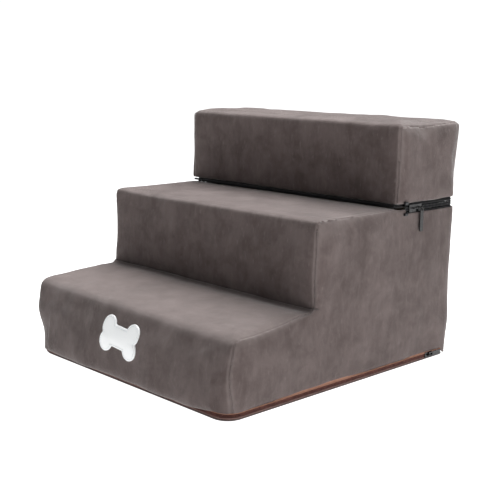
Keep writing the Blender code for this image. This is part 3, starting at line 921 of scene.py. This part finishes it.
DEPTH = BACK - FRONT
TREAD_2, TOP_DEPTH = TOP_FRONT - RISER_2, BACK - TOP_FRONT
step_area = DEPTH * LEVEL_1 + (DEPTH - TREAD_1) * (LEVEL_2 - LEVEL_1)
lower_strip = LEVEL_1 + TREAD_1 + (LEVEL_2 - LEVEL_1) + TREAD_2
upper_strip = 2 * (LEVEL_3 - TOP_FOOT) + TOP_DEPTH
lower_end, upper_end = (DEPTH, LEVEL_2), (TOP_DEPTH, LEVEL_3 - TOP_FOOT)
for name, node, flat, area in (
    ("suede_lower_front", "lower_cover", (2 * SIDE, lower_strip), None),
    ("suede_lower_left", "lower_side_left", lower_end, step_area),
    ("suede_lower_right", "lower_side_right", lower_end, step_area),
    ("suede_lower_back", "lower_back", (2 * SIDE, LEVEL_2), None),
):
    finish_panel(lower_panels[name], "lower_steps", node)
for name, node, flat in (
    ("suede_upper_front", "upper_cover", (2 * SIDE, upper_strip)),
    ("suede_upper_left", "upper_side_left", upper_end),
    ("suede_upper_right", "upper_side_right", upper_end),
):
    finish_panel(upper_panels[name], "upper_step", node)

# %% [markdown]
# ## Foam
# Open-cell foam fills the steps. It shows only when a zip is open, as pale blocks with rounded
# edges and a finely pitted face, with painted shade in the pits.

# %% Foam material
foam_paint, foam_tree, foam_shader = new_material("foam", 0.95)
foam_cells = foam_tree.nodes.new("ShaderNodeTexVoronoi")
foam_cells.inputs["Scale"].default_value = 700
foam_place = foam_tree.nodes.new("ShaderNodeTexCoord")
foam_tree.links.new(foam_place.outputs["Object"], foam_cells.inputs["Vector"])
foam_clouds = use_group(foam_tree, cloud_group, 30)
foam_colour = blend_colours(foam_tree, foam_clouds, (0.70, 0.60, 0.36), (0.80, 0.71, 0.47))
foam_depth = foam_cells.outputs["Distance"]
# Painted shade: each foam cell is painted darker towards the bottom of its pit.
foam_pit_shade = blend_colours(foam_tree, foam_depth, (0.55, 0.45, 0.25), foam_colour)
foam_tree.links.new(foam_pit_shade, foam_shader.inputs["Base Color"])
relief(foam_tree, foam_shader, foam_depth, 0.5, 0.0008)
print("foam cells at", foam_cells.inputs["Scale"].default_value, "to the metre")

# %% [markdown]
# Each block is a bevelled cube, remeshed and smoothed so that its edges look cut and
# handled. It is smaller than its cover's inside all round, so it never pokes through.


# %% Foam blocks
FOAM_INSET, FOAM_LIFT, FOAM_EDGE = 0.005, 0.0006, 0.012


def foam(name, node, body, slack):
    """A foam block inside its cover, with soft edges and some slack under the cover's top."""
    low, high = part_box(node)
    shrink = Vector((FOAM_INSET, FOAM_INSET, FOAM_LIFT))
    piece = block(name, low + shrink, high - shrink - Vector((0, 0, slack)))
    apply(piece, "BEVEL", width=FOAM_EDGE, segments=4)
    apply(piece, "REMESH", mode="VOXEL", voxel_size=0.006)
    apply(piece, "SMOOTH", factor=0.5, iterations=3)
    apply(piece, "SUBSURF", levels=1, render_levels=1)
    for face in piece.data.polygons:
        face.use_smooth = True
    piece.data.materials.append(foam_paint)
    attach(piece, body)
    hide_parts(node)
    print(name, len(piece.data.polygons), "faces")
    return piece


bottom_block = foam("foam_bottom", "bottom_foam", "lower_steps", 0.006)
foam("foam_middle", "middle_foam", "lower_steps", 0.005)
foam("foam_top", "upper_foam", "upper_step", 0.004)
tucked = tuck_corners(points_of(bottom_block), 0.06, FOOT)
move_points(bottom_block, lean_out(tucked))

# %% [markdown]
# ## Linings, base cloth and the fold tape
# Thin cloths lie flat where two parts meet: one over the middle foam, one under the top step,
# and a tougher one under everything. Plain cloth is threads that cross, so its height is one
# set of fine waves times another at right angles.

# %% Woven cloth materials
weave_group, weave_in, weave_out = node_group("plain_weave", [("Scale", 900.0)], ["Height"])
weave_place = weave_group.nodes.new("ShaderNodeTexCoord")
weave_waves = []
for direction in ("X", "Y"):
    wave = weave_group.nodes.new("ShaderNodeTexWave")
    wave.bands_direction = direction
    wave.inputs["Distortion"].default_value = 0.6
    weave_group.links.new(weave_place.outputs["Object"], wave.inputs["Vector"])
    weave_group.links.new(weave_in.outputs["Scale"], wave.inputs["Scale"])
    weave_waves.append(wave.outputs["Fac"])
crossing = weave_group.nodes.new("ShaderNodeMath")
crossing.operation = "MULTIPLY"
for socket, wave in zip(crossing.inputs, weave_waves):
    weave_group.links.new(wave, socket)
weave_group.links.new(crossing.outputs["Value"], weave_out.inputs["Height"])


def woven(name, dark, light, scale, roughness):
    """A plain woven cloth in two close colours, painted darker between its threads as painted
    shade.
    """
    made, tree, shader = new_material(name, roughness)
    threads = use_group(tree, weave_group, scale)
    clouds = use_group(tree, cloud_group, 60)
    # Painted shade: the cloth is darker where its threads dip, mixed with random tone.
    hollow_shade_and_tone = blend_numbers(tree, 0.5, threads, clouds)
    tree.links.new(blend_colours(tree, hollow_shade_and_tone, dark, light), shader.inputs["Base Color"])
    relief(tree, shader, threads, 0.5, 0.0004)
    shader.inputs["Specular IOR Level"].default_value = 0.25
    return made


LINING = woven("lining_cloth", (0.055, 0.052, 0.052), (0.13, 0.12, 0.118), 500, 0.85)
BASE_CLOTH = woven("base_cloth", (0.05, 0.034, 0.032), (0.115, 0.08, 0.074), 420, 0.7)
print("woven", LINING.name, "and", BASE_CLOTH.name)

# %% [markdown]
# A lining is a grid with a little wave. Its corners are rounded by drawing the points in each
# corner from a square towards a circle.


# %% Linings
LINING_CORNER, LINING_WAVE, LINING_CLOTH = 0.01, 0.0005, 0.0012


def flat_cloth(name, node, body, facing):
    """A grid with rounded corners over a node's place, waved a little, as thick as the cloth."""
    low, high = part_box(node)
    deselect()
    bpy.ops.mesh.primitive_grid_add(
        x_subdivisions=60,
        y_subdivisions=max(12, int(60 * (high.y - low.y) / (high.x - low.x))),
        size=1,
        location=((low.x + high.x) / 2, (low.y + high.y) / 2, high.z if facing > 0 else low.z),
    )
    piece = bpy.context.active_object
    piece.name = name
    piece.scale = (high.x - low.x, high.y - low.y, 1)
    bpy.ops.object.transform_apply(location=True, rotation=True, scale=True)
    points = points_of(piece)
    half = np.array([(high.x - low.x) / 2, (high.y - low.y) / 2])
    middle = np.array([(high.x + low.x) / 2, (high.y + low.y) / 2])
    inner = half - LINING_CORNER
    away = points[:, :2] - middle
    past = np.abs(away) - inner
    at_corner = (past > 0).all(axis=1)
    far = np.maximum(np.linalg.norm(past, axis=1), 1e-9)
    square = np.maximum(past.max(axis=1), 1e-9)
    rounded_past = past * (square / far)[:, None]
    away = np.where(at_corner[:, None], np.sign(away) * (inner + rounded_past), away)
    points[:, :2] = middle + away
    bent = points[:, 0] * 90 + 2 * np.sin(points[:, 1] * 60)
    wave = 0.5 + 0.25 * np.sin(bent) + 0.25 * np.sin(points[:, 1] * 130)
    points[:, 2] -= facing * LINING_WAVE * wave
    move_points(piece, points)
    if facing < 0:
        only(piece)
        bpy.ops.object.mode_set(mode="EDIT")
        bpy.ops.mesh.select_all(action="SELECT")
        bpy.ops.mesh.flip_normals()
        bpy.ops.object.mode_set(mode="OBJECT")
    thickness = min(LINING_CLOTH, high.z - low.z - 0.0006)
    apply(piece, "SOLIDIFY", thickness=thickness, offset=-1)
    piece.data.materials.append(LINING)
    for face in piece.data.polygons:
        face.use_smooth = True
    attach(piece, body)
    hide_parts(node)
    print(name, len(piece.data.polygons), "faces")


flat_cloth("lining_lower", "lower_lining", "lower_steps", 1)
flat_cloth("lining_upper", "upper_lining", "upper_step", -1)

# %% [markdown]
# The base cloth is stiffer, so it is a thin block. Each corner gets the rounding that the cover
# has above it, and the front reaches as far as the riser's foot leans out.

# %% Base cloth
CLOTH_INSET, CLOTH_BACK_INSET, CLOTH_EDGE = 0.0008, 0.0006, 0.0009
base_low, base_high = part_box("base_cloth")
base_low += Vector((CLOTH_INSET, -FOOT_OUT, 0))
base_high -= Vector((CLOTH_INSET, CLOTH_BACK_INSET, 0))
base_edge = block("base_cloth_sheet", base_low, base_high)
for side, facing, radius in (
    (1, -1, BASE_CORNER),
    (-1, -1, LEFT_CORNER),
    (1, 1, BACK_CORNER),
    (-1, 1, BACK_CORNER),
):

    def base_corner(edge):
        """True for the one upright edge of the base cloth that is rounded this time."""
        middle, run = edge_ends(edge)
        return abs(run.z) > 0.9 and middle.x * side > SIDE - 0.003 and middle.y * facing > 0.17

    choose(base_edge, "EDGE", base_corner)
    bpy.ops.mesh.bevel(offset=radius, segments=10, affect="EDGES")
    bpy.ops.object.mode_set(mode="OBJECT")
apply(base_edge, "BEVEL", width=CLOTH_EDGE, segments=3, limit_method="ANGLE")
base_edge.data.materials.append(BASE_CLOTH)
only(base_edge)
bpy.ops.object.shade_smooth_by_angle(angle=math.radians(50))
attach(base_edge, "base_panel")
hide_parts("base_cloth")
print(base_edge.name, len(base_edge.data.polygons), "faces")

# %% [markdown]
# The tape at the foot of the top step is its hinge. It is cut into strips across where it passes
# from the lower steps to the top step, and its front edge stands up against the top block.

# %% Fold tape
TAPE_STRIPS, TAPE_LIP = 15, 0.0014
BLACK_TAPE = woven("black_tape", (0.006, 0.006, 0.007), (0.022, 0.022, 0.024), 1100, 0.6)
tape_low, tape_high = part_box("fold_hinge_tape")
fold = block("fold_tape", tape_low, tape_high)
for cut in np.linspace(tape_low.y, tape_high.y, TAPE_STRIPS + 1)[1:-1]:
    slice_at(fold, (0, cut, 0), (0, 1, 0))


def tape_front(face):
    """True for the strips on top of the tape's front edge."""
    return face.normal.z > 0.9 and face.calc_center_median().y < TOP_FRONT + 0.0016


choose(fold, "FACE", tape_front)
bpy.ops.mesh.extrude_region_move(TRANSFORM_OT_translate={"value": (0, 0, TAPE_LIP)})
bpy.ops.object.mode_set(mode="OBJECT")
apply(fold, "BEVEL", width=0.0004, segments=2, limit_method="ANGLE")
fold.data.materials.append(BLACK_TAPE)
only(fold)
bpy.ops.object.shade_smooth_by_angle(angle=math.radians(40))
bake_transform(fold)
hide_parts("fold_hinge_tape")
print(fold.name, len(fold.data.polygons), "faces")

# %% [markdown]
# ## Zips
# A coil zip is two woven tapes, each with a spiral of nylon sewn along its edge, and the two
# spirals hook into each other. Both zips here run round three sides. A track gives the
# line and the outward direction, a strip swept along it makes the tape, and a spiral curve
# round it makes the coil.


# %% The track of a zip
def zip_track(y_end, y_turn, right_corner, left_corner, step=0.0015):
    """Points and outward directions round three sides, from the right end to the left."""
    away = 1 if y_turn > y_end else -1

    def side_run(side, corner):
        """From the open end of one side to the end of its corner."""
        run = [(side * SIDE, y) for y in np.arange(y_end, y_turn - away * corner, away * step)]
        facing = [(side, 0)] * len(run)
        centre = (side * (SIDE - corner), y_turn - away * corner)
        for turn in np.linspace(0, math.pi / 2, int(corner * 1.57 / step) + 2):
            out = (side * math.cos(turn), away * math.sin(turn))
            run.append((centre[0] + corner * out[0], centre[1] + corner * out[1]))
            facing.append(out)
        return run, facing

    right, right_out = side_run(1, right_corner)
    left, left_out = side_run(-1, left_corner)
    across = np.arange(right[-1][0] - step, left[-1][0], -step)
    places = np.array(right + [(x, y_turn) for x in across] + left[::-1])
    outs = np.array(right_out + [(0, away)] * len(across) + left_out[::-1])
    total = float(np.linalg.norm(np.diff(places, axis=0), axis=1).sum())
    return places, outs, total


print("a track is a function of its two corners:", zip_track.__name__)

# %% [markdown]
# A tape has the same section all along, so its rings of points are joined one to the next.
# Each point keeps how far along the track it is, which the ribs of the weave use.


# %% Zip tape
TAPE_WALL, FLAP_IN = 0.0009, 0.0014


def tape(name, node, body, track, paint, bulge, flap):
    """A strip of tape swept along a track. Its flap, above or below, is sewn inside the cover."""
    low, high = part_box(node)
    places, outs, total = track
    heights = np.linspace(low.z, high.z, 6)
    rise = np.sin(np.linspace(0, math.pi, 6))
    outer = [(bulge * r, z) for r, z in zip(rise, heights)]
    inner = [(-TAPE_WALL, z) for z in heights[::-1]]
    if flap > 0:
        outer += [(-FLAP_IN, high.z + flap)]
        inner = [(-FLAP_IN - TAPE_WALL, high.z + flap)] + inner
    elif flap < 0:
        outer = [(-FLAP_IN, low.z + flap)] + outer
        inner += [(-FLAP_IN - TAPE_WALL, low.z + flap)]
    profile = outer + inner
    shape = bmesh.new()
    rings = []
    for place, out in zip(places, outs):
        rings.append([shape.verts.new((*(place + out * reach), z)) for reach, z in profile])
    for first, second in zip(rings, rings[1:]):
        for i in range(len(profile)):
            j = (i + 1) % len(profile)
            shape.faces.new((first[i], first[j], second[j], second[i]))
    shape.faces.new(rings[0][::-1])
    shape.faces.new(rings[-1])
    bmesh.ops.recalc_face_normals(shape, faces=shape.faces)
    mesh = bpy.data.meshes.new(name)
    shape.to_mesh(mesh)
    shape.free()
    piece = bpy.data.objects.new(name, mesh)
    bpy.context.scene.collection.objects.link(piece)
    along = np.repeat(np.linspace(0, total, len(places)), len(profile))
    store(piece, "along", along)
    piece.data.materials.append(paint)
    only(piece)
    bpy.ops.object.shade_smooth_by_angle(angle=math.radians(50))
    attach(piece, body)
    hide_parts(node)
    print(name, len(piece.data.polygons), "faces")


# %% [markdown]
# The coil is one long wire that turns round the track, flattened against the tape. Each half
# reaches over the middle by a little, and starts half a turn after the other, so the two hook
# together.


# %% Zip coil
LOOP_POINTS, LOOP_DEEP, LOOP_PROUD = 9, 0.00075, 0.0004


def coil(name, node, body, track, paint, slot_name, pitch, wire, overlap, phase):
    """A flattened spiral that runs along a track: the loops of one half of the zip."""
    low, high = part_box(node)
    places, outs, total = track
    bottom = low.z + wire
    top = high.z - wire
    if overlap > 0:
        top += overlap
    else:
        bottom += overlap
    middle, half = (top + bottom) / 2, (top - bottom) / 2
    turns = int(total / pitch)
    runs = np.linspace(0, total, turns * LOOP_POINTS + 1)
    grid = np.concatenate([[0], np.cumsum(np.linalg.norm(np.diff(places, axis=0), axis=1))])
    angle = 2 * math.pi * (np.arange(len(runs)) / LOOP_POINTS + phase)
    x = np.interp(runs, grid, places[:, 0])
    y = np.interp(runs, grid, places[:, 1])
    out_x = np.interp(runs, grid, outs[:, 0])
    out_y = np.interp(runs, grid, outs[:, 1])
    reach = LOOP_DEEP * np.cos(angle) - LOOP_DEEP + LOOP_PROUD
    up = middle + half * np.sin(angle)
    line = np.stack([x + out_x * reach, y + out_y * reach, up], axis=1)
    curve = bpy.data.curves.new(name, "CURVE")
    curve.dimensions = "3D"
    curve.bevel_depth = wire
    curve.bevel_resolution = 1
    curve.use_fill_caps = True
    spline = curve.splines.new("POLY")
    spline.points.add(len(line) - 1)
    spline.points.foreach_set("co", np.column_stack([line, np.ones(len(line))]).ravel())
    piece = bpy.data.objects.new(name, curve)
    bpy.context.scene.collection.objects.link(piece)
    only(piece)
    bpy.ops.object.convert(target="MESH")
    piece = bpy.context.active_object
    for face in piece.data.polygons:
        face.use_smooth = True
    piece.data.materials.clear()
    piece.data.materials.append(paint)
    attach(piece, body)
    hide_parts(node)
    print(name, turns, "loops,", len(piece.data.polygons), "faces")


# %% [markdown]
# Tape is ribbed across its length. The coil is smooth nylon with a slightly worn top.


# %% Zip materials
RIB = 0.0011


def tape_paint(name, dark, light, roughness):
    """Herringbone tape: fine ribs across its length, from the run stored on its points, painted
    darker between the ribs as painted shade.
    """
    made, tree, shader = new_material(name, roughness)
    ribs = tree.nodes.new("ShaderNodeMath")
    ribs.operation = "MULTIPLY"
    ribs.inputs[1].default_value = 2 * math.pi / RIB
    tree.links.new(painted(tree, "along"), ribs.inputs[0])
    wave = tree.nodes.new("ShaderNodeMath")
    wave.operation = "SINE"
    tree.links.new(ribs.outputs["Value"], wave.inputs[0])
    lifted = spread(tree, wave.outputs["Value"], -1, 1)
    clouds = use_group(tree, cloud_group, 90)
    # Painted shade: the tape is darker between its ribs, mixed with random tone.
    hollow_shade_and_tone = blend_numbers(tree, 0.5, lifted, clouds)
    tree.links.new(blend_colours(tree, hollow_shade_and_tone, dark, light), shader.inputs["Base Color"])
    relief(tree, shader, lifted, 0.6, 0.0003)
    shader.inputs["Specular IOR Level"].default_value = 0.3
    return made


def nylon(name, colour, light, roughness):
    """Smooth plastic coil with a slightly worn top."""
    made, tree, shader = new_material(name, roughness)
    clouds = use_group(tree, cloud_group, 160)
    tree.links.new(blend_colours(tree, clouds, colour, light), shader.inputs["Base Color"])
    relief(tree, shader, use_group(tree, fibre_group, 900), 0.1, 0.0002)
    return made


TOP_TAPE = tape_paint("black_zip_tape", (0.004, 0.004, 0.0045), (0.014, 0.014, 0.015), 0.75)
TOP_COIL = nylon("black_zip_coil", (0.006, 0.006, 0.007), (0.02, 0.02, 0.022), 0.35)
# Painted light and shade: the base zip's one rust tape is made twice, a lit copy for the upper half
# and a shaded copy for the lower half.
LIT_RUST_TAPE = tape_paint("lit_rust_zip_tape", (0.42, 0.20, 0.135), (0.60, 0.33, 0.24), 0.8)
SHADED_RUST_TAPE = tape_paint("shaded_rust_zip_tape", (0.15, 0.08, 0.07), (0.26, 0.155, 0.135), 0.8)
RUST_COIL = nylon("rust_zip_coil", (0.11, 0.036, 0.028), (0.22, 0.085, 0.065), 0.45)

print("ribs every", RIB * 1000, "mm")

# %% [markdown]
# The black zip runs round the ends and the back of the top step. Each half is sewn to its
# own body, so the zip opens when the top step folds.

# %% The black zip
TOP_CORNER, TOP_PITCH, TOP_WIRE, TOP_OVERLAP, TOP_BULGE = 0.011, 0.0016, 0.00034, 0.0009, 0.0008
top_track = zip_track(ZIP_FRONT, BACK + BACK_OUT, TOP_CORNER, TOP_CORNER)
top_halves = (
    ("lower", "bottom", "lower_steps", -0.004, TOP_OVERLAP, 0),
    ("upper", "top", "upper_step", 0.005, -TOP_OVERLAP, 0.5),
)
for half, end, body, flap, _, _ in top_halves:
    name, node = "black_zip_tape_" + half, "upper_zip_tape_" + end
    tape(name, node, body, top_track, TOP_TAPE, TOP_BULGE, flap)
for half, end, body, _, overlap, phase in top_halves:
    name, node = "black_zip_coil_" + half, "upper_zip_coil_" + end
    winding = (TOP_PITCH, TOP_WIRE, overlap, phase)
    coil(name, node, body, top_track, TOP_COIL, "black_coil", *winding)

# %% [markdown]
# A moulded stop closes each tape's front end, just ahead of the slider.

# %% Stops at the front end of the black zip
STOP_SIZE, STOP_OUT, STOP_AHEAD = (0.0035, 0.006, 0.0032), 0.0032, 0.0015
for name, body, level in (("upper", "upper_step", 0.013), ("lower", "lower_steps", -0.0005)):
    deselect()
    place = (SIDE + STOP_OUT, ZIP_FRONT - STOP_AHEAD, ZIP_SHELF + level)
    bpy.ops.mesh.primitive_cube_add(size=1, location=place, scale=STOP_SIZE)
    stop = bpy.context.active_object
    stop.name = "black_zip_stop_" + name
    bpy.ops.object.transform_apply(location=True, rotation=True, scale=True)
    apply(stop, "BEVEL", width=0.0009, segments=3)
    stop.data.materials.append(TOP_COIL)
    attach(stop, body)
    print(stop.name, len(stop.data.polygons), "faces")

# %% [markdown]
# The base zip runs round both ends and the front of the foot. Its two tapes are one rust cloth: the
# upper one is painted lighter, a painted highlight where it catches the light under the suede, and
# the lower one is painted darker as painted shade.

# %% The rust-coloured base zip
BASE_PITCH, BASE_WIRE, BASE_OVERLAP = 0.0014, 0.00026, 0.0008
base_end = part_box("base_zip_tape_top")[1].y
base_track = zip_track(base_end, FRONT - FOOT_OUT, BASE_CORNER, LEFT_CORNER)
base_halves = (
    ("lower", "bottom", "base_panel", SHADED_RUST_TAPE, 0.0004, 0, BASE_OVERLAP, 0),
    ("upper", "top", "lower_steps", LIT_RUST_TAPE, 0.0015, 0.004, -BASE_OVERLAP, 0.5),
)
for half, end, body, paint, bulge, flap, _, _ in base_halves:
    name, node = "base_zip_tape_" + half, "base_zip_tape_" + end
    tape(name, node, body, base_track, paint, bulge, flap)
for half, end, body, _, _, _, overlap, phase in base_halves:
    name, node = "base_zip_coil_" + half, "base_zip_coil_" + end
    winding = (BASE_PITCH, BASE_WIRE, overlap, phase)
    coil(name, node, body, base_track, RUST_COIL, "rust_coil", *winding)

# %% [markdown]
# ## Bone patch
# A white leather patch in the shape of a bone is sewn to the lowest riser. Four round
# lobes and a bar are joined, remeshed and smoothed, which gives the soft pressed edge. The
# patch is then laid against the swollen suede, and a row of stitches runs inside its edge.

# %% The bone's outline
bone_low, bone_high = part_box("bone_patch")
BONE_ACROSS, BONE_UP = 0.013, 0.003
BONE_CENTRE = (
    (bone_low.x + bone_high.x) / 2 + BONE_ACROSS,
    (bone_low.z + bone_high.z) / 2 + BONE_UP,
)
BONE_TILT = math.radians(3.5)
LOBE, LOBE_X, LOBE_Z, BAR = 0.012, 0.0225, 0.00865, 0.0122


def bone_distance(u, v, shrink=0.0):
    """How far a point lies outside the bone's outline, shrunk by that much."""
    lobes = [np.hypot(u - a * LOBE_X, v - b * LOBE_Z) - LOBE for a in (-1, 1) for b in (-1, 1)]
    bar = np.maximum(np.abs(u) - LOBE_X, np.abs(v) - BAR)
    return np.minimum(np.minimum.reduce(lobes), bar) + shrink


def onto_riser(u, v):
    """Turn the bone's own across and up into places on the riser."""
    across = BONE_CENTRE[0] + u * math.cos(BONE_TILT) + v * math.sin(BONE_TILT)
    up = BONE_CENTRE[1] - u * math.sin(BONE_TILT) + v * math.cos(BONE_TILT)
    return across, up


print("bone", round((LOBE_X + LOBE) * 2000, 1), "mm long")

# %% [markdown]
# The suede behind the patch is swollen and leans, so a ray from the front finds its face at
# each place of the patch.


# %% How far the suede stands out behind the patch
def riser_front(across, up):
    """The suede's own face at a place on the lowest riser, seen from the front."""
    front_panel = lower_panels["suede_lower_front"]
    hit, place, _, _ = front_panel.ray_cast(Vector((across, FRONT - 0.1, up)), Vector((0, 1, 0)))
    return place.y if hit else FRONT


print("riser stands out", round((FRONT - riser_front(*BONE_CENTRE)) * 1000, 1), "mm at the bone")

# %% [markdown]
# Remesh joins the lobes and the bar into one skin, and Smooth rounds its rim. A shallow groove
# follows the outline where the stitches pull, and the middle is a little fuller.

# %% Make the patch
PATCH, PATCH_VOXEL, STITCH_IN, GROOVE_DEEP, CROWN = 0.0018, 0.0006, 0.0021, 0.00018, 0.00035
deselect()
lobe_pieces = []
for a in (-1, 1):
    for b in (-1, 1):
        bpy.ops.mesh.primitive_cylinder_add(
            vertices=64, radius=LOBE, depth=2 * PATCH, location=(a * LOBE_X, b * LOBE_Z, 0)
        )
        lobe_pieces.append(bpy.context.active_object)
bar_piece = block("bone_patch_leather", (-LOBE_X, -BAR, -PATCH), (LOBE_X, BAR, PATCH))
for piece in lobe_pieces:
    piece.select_set(True)
bpy.context.view_layer.objects.active = bar_piece
bpy.ops.object.join()
patch = bpy.context.active_object
apply(patch, "REMESH", mode="VOXEL", voxel_size=PATCH_VOXEL)
apply(patch, "SMOOTH", factor=0.5, iterations=6)
flat = points_of(patch)
edge = bone_distance(flat[:, 0], flat[:, 1])
front_side = ease((flat[:, 2] + 0.2 * PATCH) / (0.6 * PATCH))
groove = GROOVE_DEEP * np.exp(-(((edge + STITCH_IN) / 0.0005) ** 2))
crown = CROWN * ease(-edge / 0.009)
height = np.clip(flat[:, 2], -0.2 * PATCH, None) + (crown - groove) * front_side
across, up = onto_riser(flat[:, 0], flat[:, 1])
backing = np.array([riser_front(a, b) for a, b in zip(across, up)])
move_points(patch, np.stack([across, backing - height + 0.0001, up], axis=1))
only(patch)
bpy.ops.object.mode_set(mode="EDIT")
bpy.ops.mesh.select_all(action="SELECT")
bpy.ops.mesh.normals_make_consistent(inside=False)
bpy.ops.object.mode_set(mode="OBJECT")
for face in patch.data.polygons:
    face.use_smooth = True
print("bone patch", len(patch.data.polygons), "faces")

# %% [markdown]
# White plastic leather is given a faint glow, painted light that makes it give off a little more
# light than falls on it. A thin clear coat makes it shine.

# %% White leather
leather, leather_tree, leather_shader = new_material("white_patch_leather", 0.32)
leather_clouds = use_group(leather_tree, cloud_group, 120)
leather_colour = blend_colours(
    leather_tree, leather_clouds, (0.92, 0.94, 0.94), (0.97, 0.985, 0.985)
)
leather_tree.links.new(leather_colour, leather_shader.inputs["Base Color"])
relief(leather_tree, leather_shader, use_group(leather_tree, fibre_group, 1100), 0.12, 0.0003)
leather_shader.inputs["Coat Weight"].default_value = 0.3
# Painted light: a faint white glow brightens the patch.
leather_shader.inputs["Emission Color"].default_value = (1, 1, 1, 1)
leather_shader.inputs["Emission Strength"].default_value = 0.12
patch.data.materials.append(leather)
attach(patch, "lower_steps")
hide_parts("bone_patch")
print(leather.name, "has", len(leather_tree.nodes), "nodes")

# %% [markdown]
# One stitch is a short cylinder with round ends. It is copied along a line inside the bone's
# edge, turned to follow it, and the copies are joined into one row.

# %% Sew the patch on
STITCH, STITCH_GAP, THREAD = 0.0017, 0.0026, 0.00024


def stitch_line():
    """The bone's outline a little inside its edge, as closely spaced points."""
    inner, bar = LOBE - STITCH_IN, BAR - STITCH_IN
    start = math.atan2(bar - LOBE_Z, -math.sqrt(inner**2 - (bar - LOBE_Z) ** 2))
    end = math.atan2(-LOBE_Z, math.sqrt(inner**2 - LOBE_Z**2))
    turn = np.linspace(start, end, 60)
    quarter = np.stack([LOBE_X + inner * np.cos(turn), LOBE_Z + inner * np.sin(turn)], axis=1)
    right = np.concatenate([quarter, (quarter * [1, -1])[::-1]])
    return np.concatenate([right, -right, right[:1]])


outline = stitch_line()
lengths = np.concatenate([[0], np.cumsum(np.linalg.norm(np.diff(outline, axis=0), axis=1))])
count = int(lengths[-1] / STITCH_GAP)
deselect()
bpy.ops.mesh.primitive_cylinder_add(
    vertices=8, radius=THREAD, depth=STITCH, rotation=(0, math.pi / 2, 0)
)
model_stitch = bpy.context.active_object
bpy.ops.object.transform_apply(location=True, rotation=True, scale=True)
apply(model_stitch, "BEVEL", width=THREAD * 0.8, segments=2, limit_method="ANGLE")
stitches = []
for run in np.linspace(0, lengths[-1], count, endpoint=False):
    here = [np.interp(run, lengths, outline[:, k]) for k in (0, 1)]
    there = [np.interp(run + STITCH / 2, lengths, outline[:, k]) for k in (0, 1)]
    heading = math.atan2(there[1] - here[1], there[0] - here[0]) - BONE_TILT
    across, up = onto_riser(*here)
    copy = model_stitch.copy()
    copy.data = model_stitch.data.copy()
    bpy.context.scene.collection.objects.link(copy)
    copy.location = (across, riser_front(across, up) - PATCH - 0.0001, up)
    copy.rotation_euler = (0, -heading, 0)
    stitches.append(copy)
bpy.data.objects.remove(model_stitch, do_unlink=True)
deselect()
for piece in stitches:
    piece.select_set(True)
bpy.context.view_layer.objects.active = stitches[0]
bpy.ops.object.join()
bpy.ops.object.transform_apply(location=True, rotation=True, scale=True)
thread = bpy.context.active_object
thread.name = "bone_patch_stitches"
for face in thread.data.polygons:
    face.use_smooth = True
thread_paint, thread_tree, thread_shader = new_material("white_thread", 0.6)
thread_clouds = use_group(thread_tree, cloud_group, 400)
thread_colour = blend_colours(thread_tree, thread_clouds, (0.55, 0.57, 0.58), (0.74, 0.76, 0.77))
thread_tree.links.new(thread_colour, thread_shader.inputs["Base Color"])
thread.data.materials.append(thread_paint)
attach(thread, "lower_steps")
print("stitches", count)

# %% [markdown]
# ## Sliders and pulls
# The sliders are small cast parts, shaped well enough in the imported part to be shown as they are.
# They get a dark metal with an uneven face under a clear coat, which catches points of light.

# %% Gunmetal
gunmetal, metal_tree, metal_shader = new_material("gunmetal", 0.16, 1.0)
metal_clouds = use_group(metal_tree, cloud_group, 420)
metal_colour = blend_colours(metal_tree, metal_clouds, (0.004, 0.004, 0.004), (0.024, 0.023, 0.024))
metal_tree.links.new(metal_colour, metal_shader.inputs["Base Color"])
relief(metal_tree, metal_shader, use_group(metal_tree, fibre_group, 420), 0.5, 0.0008)
metal_shader.inputs["Coat Weight"].default_value = 0.6
metal_shader.inputs["Coat Roughness"].default_value = 0.06
for node in (
    "top_slider",
    "top_slider_bridge",
    "top_pull_ring",
    "top_pull_tab",
    "base_slider",
    "base_slider_bridge",
    "base_pull_tab",
):
    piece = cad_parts[node]
    piece.data.materials.clear()
    piece.data.materials.append(gunmetal)
    print(node, "is", gunmetal.name)
